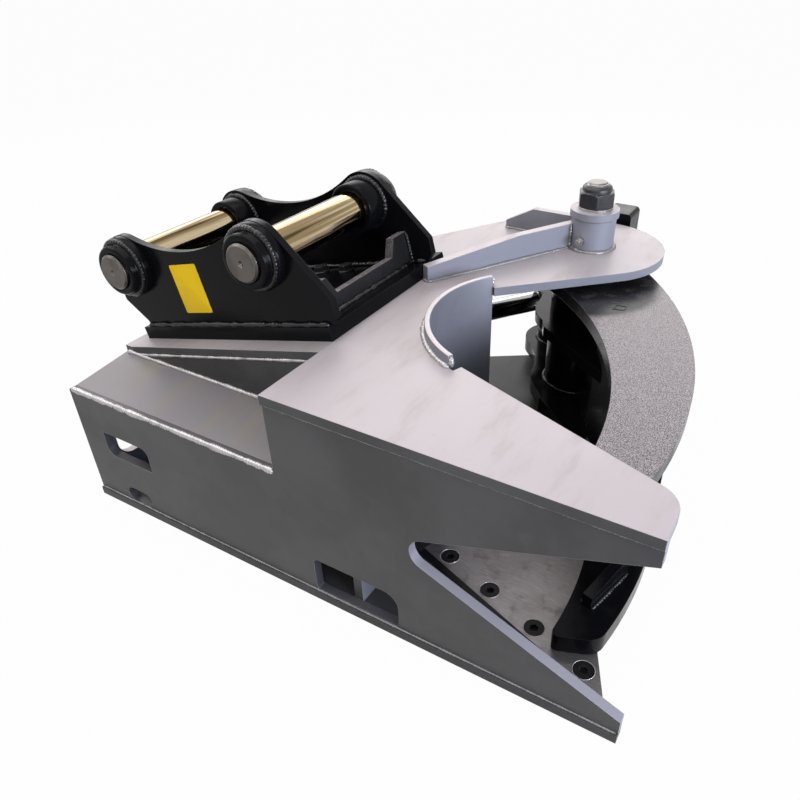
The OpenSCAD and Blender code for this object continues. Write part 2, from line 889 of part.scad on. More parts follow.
module far_ear() {
    color(jaw_black) on_slope() along_y(ear_half - ear_t, ear_half) ear_outline();
}

module hitch_pin(u) {
    chamfer = 4;
    centre_r = 7;
    color(gold) on_slope() translate([u, 0, pin_w]) rotate([90, 0, 0]) rotate_extrude() polygon([
        [0, -pin_half + centre_r], [centre_r, -pin_half], [hitch_pin_r - chamfer, -pin_half],
        [hitch_pin_r, chamfer - pin_half], [hitch_pin_r, pin_half - chamfer],
        [hitch_pin_r - chamfer, pin_half], [centre_r, pin_half], [0, pin_half - centre_r]
    ]);
}

module front_pin() {
    hitch_pin(front_u);
}

module rear_pin() {
    hitch_pin(rear_u);
}

module pin_collars() {
    ear_in = ear_half - ear_t;
    color(jaw_black) on_slope() for (u = [front_u, rear_u]) for (side = [-1, 1])
        translate([u, 0, pin_w]) rotate([side * 90, 0, 0]) {
            ring_in = side > 0 ? ring_near : ring_far;
            tube([0, 0], ring_r, hitch_pin_r + face_gap, ear_half, ear_half + ring_out);
            tube([0, 0], ring_r - 2, hitch_pin_r + face_gap, ear_in - ring_in, ear_in);
        }
}

module cross_plate() {
    half = ear_half - ear_t;
    end_w = 50;
    slope_w = 22;
    notch = [5, 9];
    color(jaw_black) on_slope() along_x(-cross_u - plate_t, -cross_u) difference() {
        polygon([
            [-half, flange_t], [half, flange_t], [half, cross_end_w], [half - end_w, cross_end_w],
            [half - end_w - slope_w, cross_w], [end_w + slope_w - half, cross_w],
            [end_w - half, cross_end_w], [-half, cross_end_w]
        ]);
        translate([notch[0], flange_t]) circle(notch[1]);
    }
}

// The jaw

// Rounds the corner round c between the touching points a and b, which follow anticlockwise
module rounded(c, a, b, r) {
    difference() {
        children();
        polygon([c, past(c, a, 3 * r), past(c, b, 3 * r)]);
    }
    disc(c, r + inset);
}

module jaw_outline(out_r) {
    start_angle = -107;
    end_angle = 50;
    web_start = polar(jaw_inner, inner_r + inset, 52);
    corner = circles_meet(pivot, tip_r - tip_corner, jaw_outer, out_r - tip_corner, 1);
    inner_corner = circles_meet(pivot, tip_r - tip_inner, jaw_inner, inner_r + tip_inner, 1);
    rounded(corner, touch(pivot, corner, tip_corner), touch(jaw_outer, corner, tip_corner), tip_corner)
        rounded(inner_corner, touch(jaw_inner, inner_corner, -tip_inner),
                touch(pivot, inner_corner, tip_inner), tip_inner) difference() {
            intersection() {
                disc(jaw_outer, out_r);
                disc(pivot, tip_r);
                polygon([
                    pivot, polar(pivot, far_away, start_angle), polar(pivot, far_away, -60),
                    polar(pivot, far_away, 0), polar(pivot, far_away, end_angle)
                ]);
            }
            disc(jaw_inner, inner_r);
        }
    disc(pivot, hub_r);
    polygon([pivot, tangent_from(web_start, pivot, hub_r, 1), web_start]);
}

module jaw_upper_plate() {
    lobe_end = 45;
    color(jaw_black) slab(jaw_plate_low, jaw_top) difference() {
        union() {
            jaw_outline(outer_r);
            stop_outline(lobe_end);
            translate([pivot_x - lobe_end, pivot_y]) square([2 * lobe_end, stop_out - lobe_end]);
        }
        disc(pivot, bush_r);
    }
}

stop_in = 196;
stop_out = 274;

// The end of the lobe that carries the stop
module stop_outline(half) {
    translate([pivot_x - half, pivot_y + stop_out - 2 * half])
        soft_box(0, 0, 2 * half, 2 * half, [0, 0, half / 2, half / 2]);
}

// The arm from the hub to the lever pin, with a hollow waist towards the cylinder
module arm_outline(end_r) {
    waist = circles_meet(pivot, hub_r + waist_r, lever, end_r + waist_r, 1);
    hub_touch = pivot + (hub_r - inset) * (waist - pivot) / norm(waist - pivot);
    end_touch = lever + (end_r - inset) * (waist - lever) / norm(waist - lever);
    along = atan2(lever_y - pivot_y, lever_x - pivot_x);
    straight = along - acos((hub_r - end_r) / norm(lever - pivot));
    difference() {
        union() {
            disc(pivot, hub_r);
            disc(lever, end_r);
            polygon([
                pivot, polar(pivot, hub_r - inset, straight), polar(lever, end_r - inset, straight),
                lever, end_touch, hub_touch
            ]);
        }
        disc(waist, waist_r - inset);
    }
}

module jaw_blade() {
    color(jaw_black) slab(jaw_low, jaw_floor) difference() {
        union() {
            jaw_outline(outer_r - blade_in);
            arm_outline(tail_r);
        }
        disc(pivot, bush_r);
    }
}

module wall_outline() {
    r = jaw_wall_r;
    difference() {
        union() {
            difference() {
                pie(jaw_inner, r, wall_end, wall_turn);
                disc(jaw_inner, r - jaw_wall_t);
            }
            translate(pivot) rotate(web_angle) translate([0, -jaw_wall_t / 2])
                square([web_len, jaw_wall_t]);
            disc(wall_turn_at, jaw_wall_t / 2);
        }
        disc(pivot, tube_r);
    }
}

module jaw_wall() {
    color(jaw_black) slab(jaw_floor, jaw_plate_low) wall_outline();
}

module jaw_rib() {
    rib_start = polar(jaw_inner, inner_r + 23, 2.6);
    rib_angle = 76;
    long = 125;
    low = 28;
    high = 45;
    color(jaw_black) translate([rib_start[0], rib_start[1], jaw_floor]) rotate([90, 0, rib_angle])
        linear_extrude(21) polygon([[0, 0], [long, 0], [long, high], [0, low]]);
}

module jaw_gussets() {
    reach = 60;
    color(jaw_black) slab(jaw_floor, jaw_plate_low) for (a = [18, 27, 36])
        translate(jaw_inner) rotate(a) translate([0, -gusset_t / 2]) difference() {
            square([jaw_wall_r + reach, gusset_t]);
            translate([0, gusset_t / 2]) circle(jaw_wall_r);
        }
}

module hub_tube() {
    color(jaw_black) tube(pivot, tube_r, bush_r, jaw_floor, jaw_plate_low);
}

module hub_bushes() {
    color("#a8823f") {
        tube(pivot, bush_r, pivot_r + run_gap, jaw_low, jaw_low + bush_l);
        tube(pivot, bush_r, pivot_r + run_gap, jaw_top - bush_l, jaw_top);
    }
}

module thrust_ring() {
    color(steel) tube(pivot, thrust_r, pivot_r + run_gap, jaw_top, top_low - face_gap);
}

module lever_plate() {
    edge = [pivot - [54, 134], pivot + [62, -216], pivot + [152, -280]];
    color(jaw_black) slab(lever_low, lever_low + lever_t) difference() {
        union() {
            arm_outline(lever_r);
            polygon(concat([pivot, pivot - [hub_r, 0]], edge, [wall_turn_at]));
        }
        disc(pivot, tube_r);
        disc(lever, lever_pin_r + face_gap);
        wall_outline();
    }
}

module pin_boss() {
    color(jaw_black) tube(lever, 58, lever_pin_r + face_gap, jaw_floor, cylinder_z - eye_t / 2 - 3);
}

module lever_pin() {
    head = 8;
    color(steel) slab(jaw_floor, lever_low + lever_t + head) disc(lever, lever_pin_r);
    color(steel) tube(lever, lever_pin_r + 16, lever_pin_r, lever_low + lever_t, lever_low + lever_t + head);
}

module jaw_stop() {
    half = 38;
    color(jaw_black) along_y(pivot_y + stop_in, pivot_y + stop_out) translate([pivot_x, jaw_top])
        soft_box(-half, 0, half, 63, [0, 0, 12, 12]);
}

// The cylinder

module on_cylinder(at) {
    translate([at[0], at[1], cylinder_z]) rotate(cylinder_angle) children();
}

// A round bar along the cylinder's axis, from a to b along it
module bar(a, b, r) {
    translate([a, 0, 0]) rotate([0, 90, 0]) cylinder(r = r, h = b - a);
}

module rod_eye() {
    collar = 26;
    color(steel) on_cylinder(lever) difference() {
        union() {
            translate([0, 0, -eye_t / 2]) cylinder(r = eye_r, h = eye_t);
            bar(-eye_r - collar, 0, eye_t / 2 - 1);
        }
        translate([0, 0, -eye_t]) cylinder(r = lever_pin_r + run_gap, h = 2 * eye_t);
    }
}

rod_seat = eye_r + 26;

module piston_rod() {
    color("#d8d8da") on_cylinder(lever) bar(-rod_len, -rod_seat, rod_r);
}

module piston() {
    piston_l = 50;
    color(steel) on_cylinder(lever) bar(-rod_len - piston_l, -rod_len, barrel_r - barrel_wall - run_gap);
}

gland_l = 60;
barrel_start = base_eye_r + 20;

module cylinder_barrel() {
    color("#3b3c3e") on_cylinder(base) difference() {
        bar(barrel_start, gland_at - gland_l / 2, barrel_r);
        bar(barrel_start - 1, gland_at, barrel_r - barrel_wall);
    }
}

module cylinder_gland() {
    color("#3b3c3e") on_cylinder(base) difference() {
        union() {
            bar(gland_at - gland_l / 2, gland_at, barrel_r + 6);
            bar(gland_at - gland_l, gland_at - gland_l / 2, barrel_r - barrel_wall);
        }
        bar(gland_at - gland_l - 1, gland_at + 1, rod_r + run_gap);
    }
}

module base_eye() {
    color("#3b3c3e") on_cylinder(base) difference() {
        union() {
            translate([0, 0, -eye_t / 2]) cylinder(r = base_eye_r, h = eye_t);
            bar(0, barrel_start, eye_t / 2 - 1);
            bar(base_eye_r + 2, barrel_start, barrel_r);
        }
        translate([0, 0, -eye_t]) cylinder(r = base_bore_r, h = 2 * eye_t);
    }
}

port_r = 11;
port_out = 34;

module port_bosses() {
    color("#3b3c3e") on_cylinder(base) for (x = [barrel_start + 30, gland_at - gland_l / 2 - 30])
        difference() {
            translate([x, 0, 0]) cylinder(r = 22, h = barrel_r + port_out);
            bar(barrel_start - 1, gland_at, barrel_r);
            translate([x, 0, 0]) cylinder(r = port_r, h = barrel_r + port_out + 1);
        }
}

bottom_plate();
side_wall();
top_plate();
shoulder_plate();
inner_web();
step_wall();
mid_wall();
front_web();
mount_plate();
throat_wall();
rear_wall();
far_wall();
near_rib();
far_rib();
pivot_boss();
pivot_collar();
pivot_pin();
pivot_washer();
pivot_nut();
lock_bolt();
lower_boss();
fixed_blade();
blade_bolts();
base_bosses();
base_pin();
hitch_base();
near_ear();
far_ear();
pin_collars();
front_pin();
rear_pin();
cross_plate();
hitch_bolts();
jaw_upper_plate();
jaw_blade();
jaw_wall();
jaw_rib();
jaw_gussets();
hub_tube();
hub_bushes();
thrust_ring();
lever_plate();
pin_boss();
lever_pin();
jaw_stop();
rod_eye();
piston_rod();
piston();
cylinder_barrel();
cylinder_gland();
base_eye();
port_bosses();
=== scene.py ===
import json
import math
import random

import bmesh
import bpy
from mathutils import Matrix, Vector


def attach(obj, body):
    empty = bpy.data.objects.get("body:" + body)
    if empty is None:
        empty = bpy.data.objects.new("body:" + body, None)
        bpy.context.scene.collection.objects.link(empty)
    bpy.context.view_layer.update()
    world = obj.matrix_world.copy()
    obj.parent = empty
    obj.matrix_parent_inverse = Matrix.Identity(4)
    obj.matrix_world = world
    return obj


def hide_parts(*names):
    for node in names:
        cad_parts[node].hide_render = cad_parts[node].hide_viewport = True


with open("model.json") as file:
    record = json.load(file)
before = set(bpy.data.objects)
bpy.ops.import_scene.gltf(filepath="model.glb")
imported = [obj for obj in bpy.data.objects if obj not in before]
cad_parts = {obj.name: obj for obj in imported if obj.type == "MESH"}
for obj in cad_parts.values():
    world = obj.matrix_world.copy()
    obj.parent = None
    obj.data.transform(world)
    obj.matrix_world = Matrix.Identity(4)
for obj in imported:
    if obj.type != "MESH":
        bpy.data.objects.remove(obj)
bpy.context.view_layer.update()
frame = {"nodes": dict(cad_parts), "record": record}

nodes = frame["nodes"]
random.seed(11)
bpy.context.scene.view_settings.view_transform = "Standard"

# The camera's place, turn and lens, worked out from the shear's corners in the photograph
camera = {
    "place": (0.7966, -1.1577, 1.1547),
    "turn": (2.1230, 0.5748, -0.3156),
    "focal": 32.18,
    "shift": (-0.0383, 0.0238),
    "sensor": 36,
    "clip": (0.05, 60),
}


def placeCamera(view):
    lens = bpy.data.cameras.new("photoLens")
    lens.lens = view["focal"]
    lens.sensor_width = view["sensor"]
    lens.clip_start, lens.clip_end = view["clip"]
    lens.shift_x, lens.shift_y = view["shift"]
    eye = bpy.data.objects.new("photoEye", lens)
    bpy.context.scene.collection.objects.link(eye)
    turn = Vector(view["turn"])
    toLens = Matrix.Rotation(turn.length, 3, turn.normalized())
    flip = Matrix(((1, 0, 0), (0, -1, 0), (0, 0, -1)))
    look = (toLens.transposed() @ flip).to_4x4()
    eye.matrix_world = Matrix.Translation(Vector(view["place"])) @ look
    bpy.context.scene.camera = eye
    print("camera placed")


placeCamera(camera)

# Places and levels that the added pieces share with the shear, in metres
shear = {
    "top": 0.480, "topUnder": 0.460, "rear": -0.596, "sideFace": -0.415, "shoulder": 0.302,
    "bottomTop": 0.020, "reach": 0.708, "riser": -0.248, "riserFoot": 0.317, "slope": math.radians(14.25),
    "plate": 0.020, "pivot": (0.260, 0.516), "bossRadius": 0.054, "bossTop": 0.558,
    "throat": (0.337, 0.042), "throatOuter": 0.238, "rim": 0.504, "earFace": 0.190, "earThick": 0.016,
    "flange": 0.029, "frontPin": -0.139, "rearPin": -0.555, "pinHeight": 0.177, "ringRadius": 0.058,
    "jawFloor": 0.093, "jawCeiling": 0.410, "innerArc": (-0.252, -0.278), "wallRadius": 0.860,
    "wallThick": 0.020, "tubeRadius": 0.085, "lever": (0.125, 0.712), "ribHigh": 0.060,
    "bladeTurn": math.radians(19.8),
}


class Wire:
    def __init__(self, board, socket):
        self.board = board
        self.socket = socket

    def sum(self, kind, a, b=0.5):
        return self.board.add("Math", {"operation": kind}, {0: a, 1: b})

    def __add__(self, other):
        return self.sum("ADD", self, other)

    def __radd__(self, other):
        return self.sum("ADD", other, self)

    def __sub__(self, other):
        return self.sum("SUBTRACT", self, other)

    def __rsub__(self, other):
        return self.sum("SUBTRACT", other, self)

    def __mul__(self, other):
        return self.sum("MULTIPLY", self, other)

    def __rmul__(self, other):
        return self.sum("MULTIPLY", other, self)

    def __gt__(self, other):
        return self.sum("GREATER_THAN", self, other)

    def __lt__(self, other):
        return self.sum("LESS_THAN", self, other)

    def __abs__(self):
        return self.sum("ABSOLUTE", self)

    def least(self, other):
        return self.sum("MINIMUM", self, other)

    # 0 at low, 1 at high and smooth between them, also where low is the larger
    def between(self, low, high):
        return self.board.add("MapRange", {"interpolation_type": "SMOOTHSTEP"},
                              {"Value": self, "From Min": low, "From Max": high})


# The shader nodes of one material, or of the world
class Board:
    def __init__(self, name, world=False):
        self.owner = bpy.data.worlds.new(name) if world else bpy.data.materials.new(name)
        self.owner.use_nodes = True
        self.tree = self.owner.node_tree
        self.tree.nodes.clear()

    def add(self, kind, settings=None, values=None, out=0):
        node = self.tree.nodes.new("ShaderNode" + kind)
        for name, value in (settings or {}).items():
            setattr(node, name, value)
        for name, value in (values or {}).items():
            if isinstance(value, Wire):
                self.tree.links.new(value.socket, node.inputs[name])
            else:
                node.inputs[name].default_value = value
        return Wire(self, node.outputs[out]) if node.outputs else None

    def place(self):
        return self.add("TexCoord", out="Object")

    def axis(self, name):
        return self.add("SeparateXYZ", None, {0: self.place()}, name)

    def stretched(self, turn=(0, 0, 0), scale=(1, 1, 1)):
        return self.add("Mapping", None, {"Vector": self.place(), "Rotation": turn, "Scale": scale})

    # Cloudy pattern from 0 to 1, where size is the width of one cloud in metres
    def clouds(self, size, detail=3.0, rough=0.55, where=None):
        return self.add("TexNoise", None, {"Vector": where or self.place(), "Scale": 1 / size,
                                           "Detail": detail, "Roughness": rough})

    # Distance from the nearest of scattered points, which lie about size apart
    def cells(self, size):
        return self.add("TexVoronoi", {"feature": "F1"},
                        {"Vector": self.place(), "Scale": 1 / size}, "Distance")

    def blend(self, amount, a, b):
        first, second = (c if isinstance(c, Wire) else (*c, 1) for c in (a, b))
        return self.add("Mix", {"data_type": "RGBA"}, {0: amount, 6: first, 7: second}, 2)

    def relief(self, height, depth, under=None):
        values = {"Height": height, "Distance": depth, "Strength": 1.0}
        if under:
            values["Normal"] = under
        return self.add("Bump", None, values)

    # The rounded normal, and 1 on edges, where it leaves the face's own
    def edges(self, radius, gain):
        rounded = self.add("Bevel", {"samples": 4}, {"Radius": radius})
        flat = self.add("NewGeometry", out="Normal")
        same = self.add("VectorMath", {"operation": "DOT_PRODUCT"}, {0: rounded, 1: flat}, "Value")
        return rounded, ((1 - same) * gain).least(1)

    # One part of the surface's own direction, which for Z is 1 on faces that lie flat
    def facing(self, axis):
        return self.add("SeparateXYZ", None, {0: self.add("NewGeometry", out="Normal")}, axis)

    def finish(self, **values):
        names = {"color": "Base Color", "rough": "Roughness", "metal": "Metallic", "normal": "Normal",
                 "level": "Specular IOR Level"}
        shader = self.add("BsdfPrincipled", None, {names[key]: value for key, value in values.items()})
        self.add("OutputMaterial", None, {"Surface": shader})
        return self.owner


# Grey paint: satin with fine flakes, soft clouds, wiped smears, dark pores and lighter edges. Light is
# painted in: dark sides as painted shade, a light top colour on flat faces and a bluish one on faces turned
# to +X as painted light, and the lighter edges as a painted highlight
greyPaint = {
    "deep": (0.043, 0.042, 0.042), "pale": (0.070, 0.068, 0.069), "top": (0.45, 0.41, 0.425),
    "facing": (0.24, 0.245, 0.29), "smear": (0.115, 0.110, 0.105), "topSmear": (0.37, 0.325, 0.32),
    "flake": (0.55, 0.54, 0.54), "edge": (0.50, 0.49, 0.50), "pore": (0.10, 0.09, 0.09),
    "cloudSize": 0.24, "smearSize": 0.06, "wipeSize": 0.16, "poreGap": 0.045, "grain": 0.0009,
    "grainDepth": 0.00010, "orangePeel": 0.014, "peelDepth": 0.00018, "buckle": 0.12, "buckleDepth": 0.0012,
    "edgeRadius": 0.0016, "edgeGain": 4.0, "metal": 0.18, "rough": 0.44, "level": 0.4,
}
shadedPaint = {**greyPaint, "top": (0.050, 0.050, 0.053), "topSmear": (0.07, 0.065, 0.062), "rough": 0.34,
               "edge": (0.16, 0.155, 0.15), "metal": 0.0, "level": 0.12, "facing": (0.05, 0.05, 0.055)}
# Side wall copy: its flat and +X faces stay dark as painted shade, and the cut faces in front of the notch
# take a lighter bluish painted highlight
wallLightAndShadePaint = {**greyPaint, "top": (0.075, 0.074, 0.085), "topSmear": (0.09, 0.088, 0.09),
             "facing": (0.075, 0.076, 0.088), "mouthFrom": 0.28, "mouth": (0.25, 0.245, 0.28)}
# Copy for the shoulder plate, whose flat faces take a dimmer painted top light
deckPaint = {**greyPaint, "top": (0.215, 0.20, 0.21), "topSmear": (0.25, 0.23, 0.17)}
# Copy for the boss, collar and ribs: lighter bluish tones on every face, painted light from the right
rightLitPaint = {**greyPaint, "deep": (0.20, 0.205, 0.235), "pale": (0.26, 0.265, 0.30)}


def makeGreyPaint(name, look):
    board = Board(name)
    cloud = board.clouds(look["cloudSize"], 4, 0.6)
    smear = board.clouds(look["smearSize"], 5, 0.65, board.stretched((0, 0, 0.5), (1, 0.25, 1)))
    wipe = board.clouds(look["wipeSize"], 3, 0.5, board.stretched((0, 0, -0.35), (0.3, 1, 1)))
    grain = board.clouds(look["grain"], 2, 0.5)
    pore = board.cells(look["poreGap"])
    rounded, edge = board.edges(look["edgeRadius"], look["edgeGain"])
    lying = board.facing("Z").between(0.4, 0.9)
    # The sides keep dark cloudy tones: the darkness is painted shade, the clouds random tone
    base = board.blend(cloud.between(0.35, 0.68), look["deep"], look["pale"])
    base = board.blend(smear.between(0.54, 0.78) * 0.3, base, look["smear"])
    # Faces turned to +X take a lighter bluish painted light
    base = board.blend(board.facing("X").between(0.05, 0.45) * 0.9, base, look["facing"])
    # Flat faces take a light top colour with smears in it, a painted top light
    litTopColor = board.blend(smear.between(0.46, 0.70) * 0.6, look["top"], look["topSmear"])
    base = board.blend(lying * 0.9, base, litTopColor)
    if "mouth" in look:  # the cut faces in front of the notch, with a lighter bluish painted highlight
        litCutFace = (board.axis("X") > look["mouthFrom"]) * (abs(board.facing("Y")) < 0.5)
        base = board.blend(litCutFace * 0.9, base, look["mouth"])
    base = board.blend(grain.between(0.55, 0.75) * 0.10, base, look["flake"])
    base = board.blend((pore < 0.026) * lying * cloud.between(0.45, 0.6) * 0.7, base, look["pore"])
    # Lighter edges: a painted highlight along the rounded edges
    base = board.blend(edge * 0.7, base, look["edge"])
    rough = look["rough"] + (cloud - 0.5) * 0.16 + smear.between(0.5, 0.7) * 0.08
    rough = rough + wipe.between(0.5, 0.62) * 0.05 - edge * 0.08
    normal = board.relief(grain, look["grainDepth"], rounded)
    normal = board.relief(board.clouds(look["orangePeel"], 2), look["peelDepth"], normal)
    normal = board.relief(board.clouds(look["buckle"], 2), look["buckleDepth"], normal)
    return board.finish(color=base, rough=rough, metal=look["metal"], normal=normal, level=look["level"])


# Black paint: the glossy kind shows runs and dust, the thick kind a pebbled skin with painted glints. Both
# have lighter edges, partly wear and partly a painted highlight
glossBlack = {
    "color": (0.004, 0.004, 0.005), "dustAndGlint": (0.05, 0.047, 0.044), "edge": (0.035, 0.035, 0.038),
    "rough": 0.14, "level": 0.07, "peel": 0.006, "peelDepth": 0.00016, "skin": 0.0012, "skinDepth": 0.00002,
    "dirtSize": 0.05, "speckGap": 0.011, "dusty": 0.05, "edgeRadius": 0.0018, "edgeGain": 3.5,
}
weldBlack = {**glossBlack, "rough": 0.10, "level": 0.35, "peelDepth": 0.0004, "skin": 0.0024,
             "skinDepth": 0.0003}
# The thick kind's dust colour also paints its glints, a painted highlight
thickBlack = {
    **glossBlack, "color": (0.012, 0.012, 0.013), "dustAndGlint": (0.44, 0.40, 0.41), "edge": (0.30, 0.28, 0.26),
    "rough": 0.20, "level": 0.12, "peel": 0.010, "peelDepth": 0.00005, "skin": 0.0020, "skinDepth": 0.00015,
    "dusty": 0.10, "glint": 0.9, "glintSize": 0.0017, "darkReflectionRadii": (0.160, 0.190),
    "darkReflectionMiddle": (0.300, 0.380, shear["jawCeiling"]),
}


def makeBlackPaint(name, look):
    board = Board(name)
    dirt = board.clouds(look["dirtSize"], 5, 0.7)
    speck = board.cells(look["speckGap"])
    rounded, edge = board.edges(look["edgeRadius"], look["edgeGain"])
    lying = board.facing("Z").between(0.2, 0.9)
    base = board.blend(dirt.between(0.5, 0.8) * look["dusty"] * lying, look["color"], look["dustAndGlint"])
    base = board.blend((speck < 0.10) * dirt.between(0.45, 0.6) * look["dusty"], base, look["dustAndGlint"])
    if "glint" in look:  # painted glints in the dust colour, left out near a middle under the tongue as a painted dark reflection of it
        away = board.add("VectorMath", {"operation": "DISTANCE"},
                         {0: board.place(), 1: look["darkReflectionMiddle"]}, "Value")
        glint = board.clouds(look["glintSize"], 2, 0.6).between(0.36, 0.64) * lying * look["glint"]
        base = board.blend(glint * away.between(*look["darkReflectionRadii"]), base, look["dustAndGlint"])
    # Lighter edges: partly wear and partly a painted highlight
    base = board.blend(edge * 0.55, base, look["edge"])
    rough = look["rough"] + dirt.between(0.4, 0.75) * 0.14 + (speck < 0.1) * 0.2
    normal = board.relief(board.clouds(look["peel"], 2), look["peelDepth"], rounded)
    normal = board.relief(board.clouds(look["skin"], 3, 0.6), look["skinDepth"], normal)
    return board.finish(color=base, rough=rough, metal=0.0, normal=normal, level=look["level"])


# Metals and cylinder paint: turned or ground lines, stains and a brighter edge, partly wear and partly a
# painted highlight
metalWear = {"stainSize": 0.03, "broadSize": 0.14, "edgeRadius": 0.0012, "edgeGain": 4.0, "level": 0.5}
pinSteel = {
    **metalWear, "color": (0.17, 0.16, 0.15), "stain": (0.10, 0.09, 0.08), "edge": (0.5, 0.48, 0.46),
    "rough": 0.42, "metal": 1.0, "stained": 0.4, "line": 0.0007, "lineDepth": 0.00004,
}
turnedSteel = {
    **metalWear, "color": (0.42, 0.41, 0.40), "stain": (0.20, 0.17, 0.14), "edge": (0.75, 0.74, 0.72),
    "rough": 0.30, "metal": 1.0, "stained": 0.35, "line": 0.0007, "lineDepth": 0.00004,
}
groundSteel = {
    **metalWear, "color": (0.20, 0.186, 0.19), "stain": (0.105, 0.092, 0.088), "edge": (0.58, 0.54, 0.48),
    "rough": 0.36, "metal": 0.8, "stained": 0.6, "line": 0.0009, "lineDepth": 0.00005,
    "paintedBehind": -0.1431, "painted": (0.012, 0.012, 0.013),
}
darkSteel = {
    **metalWear, "color": (0.030, 0.030, 0.034), "stain": (0.05, 0.04, 0.035), "edge": (0.26, 0.26, 0.28),
    "rough": 0.34, "metal": 0.6, "stained": 0.5, "line": 0.0011, "lineDepth": 0.00003,
}
blackOxide = {**darkSteel, "color": (0.008, 0.008, 0.009), "stain": (0.018, 0.016, 0.015),
              "edge": (0.10, 0.10, 0.11), "metal": 0.1, "level": 0.12}
chrome = {
    **metalWear, "color": (0.44, 0.44, 0.46), "stain": (0.45, 0.44, 0.43), "edge": (0.8, 0.8, 0.8),
    "rough": 0.10, "metal": 1.0, "stained": 0.2, "line": 0.0006, "lineDepth": 0.000004,
}
bronze = {
    **metalWear, "color": (0.45, 0.28, 0.11), "stain": (0.22, 0.12, 0.05), "edge": (0.7, 0.5, 0.25),
    "rough": 0.33, "metal": 1.0, "stained": 0.4, "line": 0.0007, "lineDepth": 0.00003,
}
cylinderPaint = {
    **metalWear, "color": (0.045, 0.046, 0.050), "stain": (0.09, 0.085, 0.08), "edge": (0.18, 0.18, 0.19),
    "rough": 0.28, "metal": 0.1, "stained": 0.4, "line": 0.004, "lineDepth": 0.00008,
}
weldSteel = {
    **metalWear, "color": (0.46, 0.44, 0.44), "stain": (0.13, 0.12, 0.12), "edge": (0.8, 0.78, 0.78),
    "rough": 0.26, "metal": 0.55, "stained": 0.6, "line": 0.0022, "lineDepth": 0.00045,
}
weldPainted = {
    **metalWear, "color": (0.22, 0.21, 0.21), "stain": (0.16, 0.155, 0.155), "edge": (0.5, 0.5, 0.5),
    "rough": 0.32, "metal": 0.45, "stained": 0.5, "line": 0.0022, "lineDepth": 0.00035,
}


def makeMetal(name, look, turn=(0, 0, 0), scale=(1, 1, 1)):
    board = Board(name)
    line = board.clouds(look["line"], 2, 0.5, board.stretched(turn, scale))
    stain = board.clouds(look["stainSize"], 5, 0.65)
    broad = board.clouds(look["broadSize"], 3)
    rounded, edge = board.edges(look["edgeRadius"], look["edgeGain"])
    spots = (stain.between(0.5, 0.72) + broad.between(0.5, 0.7) * 0.5).least(1) * look["stained"]
    base = board.blend(spots, look["color"], look["stain"])
    base = board.blend(line.between(0.5, 0.75) * 0.25, base, look["edge"])
    if "painted" in look:  # the fixed blade is black behind a line along its edge
        a = shear["bladeTurn"]
        ahead = board.axis("X") * math.sin(a) + board.axis("Y") * math.cos(a) - look["paintedBehind"]
        base = board.blend(ahead.between(0.002, 0.0), base, look["painted"])
    # Brighter edge: partly wear and partly a painted highlight
    base = board.blend(edge * 0.75, base, look["edge"])
    rough = look["rough"] + spots * 0.25 + (line - 0.5) * 0.12
    normal = board.relief(line, look["lineDepth"], rounded)
    return board.finish(color=base, rough=rough, metal=look["metal"], normal=normal, level=look["level"])


# Hitch pins: yellow zinc between the ears with painted reflection bands along it, bare turned steel at the
# ends
pinFinish = {
    "zinc": (0.29, 0.215, 0.115), "zincPale": (0.55, 0.45, 0.29), "zincDark": (0.085, 0.058, 0.025),
    "steel": (0.115, 0.102, 0.093), "steelDark": (0.075, 0.067, 0.06), "edge": (0.75, 0.72, 0.68),
    "bareFrom": 0.186, "ring": 0.0011, "ringDepth": 0.000012, "tintSize": 0.05, "reflectionBand": 0.016,
    "edgeRadius": 0.0012, "edgeGain": 4.0, "rough": 0.10, "bareRough": 0.26,
}


def makePinFinish(name, look):
    board = Board(name)
    rings = board.clouds(look["ring"], 2, 0.5, board.stretched(scale=(0.02, 1, 0.02)))
    tint = board.clouds(look["tintSize"], 3)
    reflectionBand = board.clouds(look["reflectionBand"], 3, 0.6, board.stretched(scale=(1, 0.02, 1)))
    bare = abs(board.axis("Y")) > look["bareFrom"]
    rounded, edge = board.edges(look["edgeRadius"], look["edgeGain"])
    # Pale and dark bands along the pin are painted reflection
    zinc = board.blend(reflectionBand.between(0.50, 0.62), look["zinc"], look["zincPale"])
    zinc = board.blend(reflectionBand.between(0.48, 0.36), zinc, look["zincDark"])
    zinc = board.blend(rings.between(0.55, 0.7) * 0.2, zinc, look["zincDark"])
    steel = board.blend(tint.between(0.4, 0.7), look["steel"], look["steelDark"])
    base = board.blend(bare, zinc, steel)
    # Lighter edges: partly wear and partly a painted highlight
    base = board.blend(edge * 0.5, base, look["edge"])
    rough = look["rough"] + (rings - 0.5) * 0.06 + bare * look["bareRough"]
    normal = board.relief(rings, look["ringDepth"], rounded)
    return board.finish(color=base, rough=rough, metal=1.0, normal=normal)


# Plain yellow reflective film on the near ear
filmPatch = {
    "size": (0.086, 0.111), "middle": (-0.378, 0.115), "thick": 0.0004, "sunk": 0.0001, "bevel": 0.0003,
    "bevelFrom": 0.7, "corner": 0.004, "cornerSteps": 6,
    "color": (0.92, 0.60, 0.010), "worn": (0.78, 0.52, 0.03), "wearSize": 0.02,
    "weave": 0.0022, "weaveDepth": 0.00006, "rough": 0.36, "level": 0.15, "crease": 30,
}


def makeFilm(name, look):
    board = Board(name)
    wear = board.clouds(look["wearSize"], 4)
    base = board.blend(wear.between(0.45, 0.75) * 0.4, look["color"], look["worn"])
    normal = board.relief(board.cells(look["weave"]), look["weaveDepth"])
    return board.finish(color=base, rough=look["rough"] + wear * 0.2, metal=0.0, normal=normal,
                        level=look["level"])


def paint(names, material):
    for name in names:
        cad = nodes[name]
        cad.data.materials.clear()
        cad.data.materials.append(material)


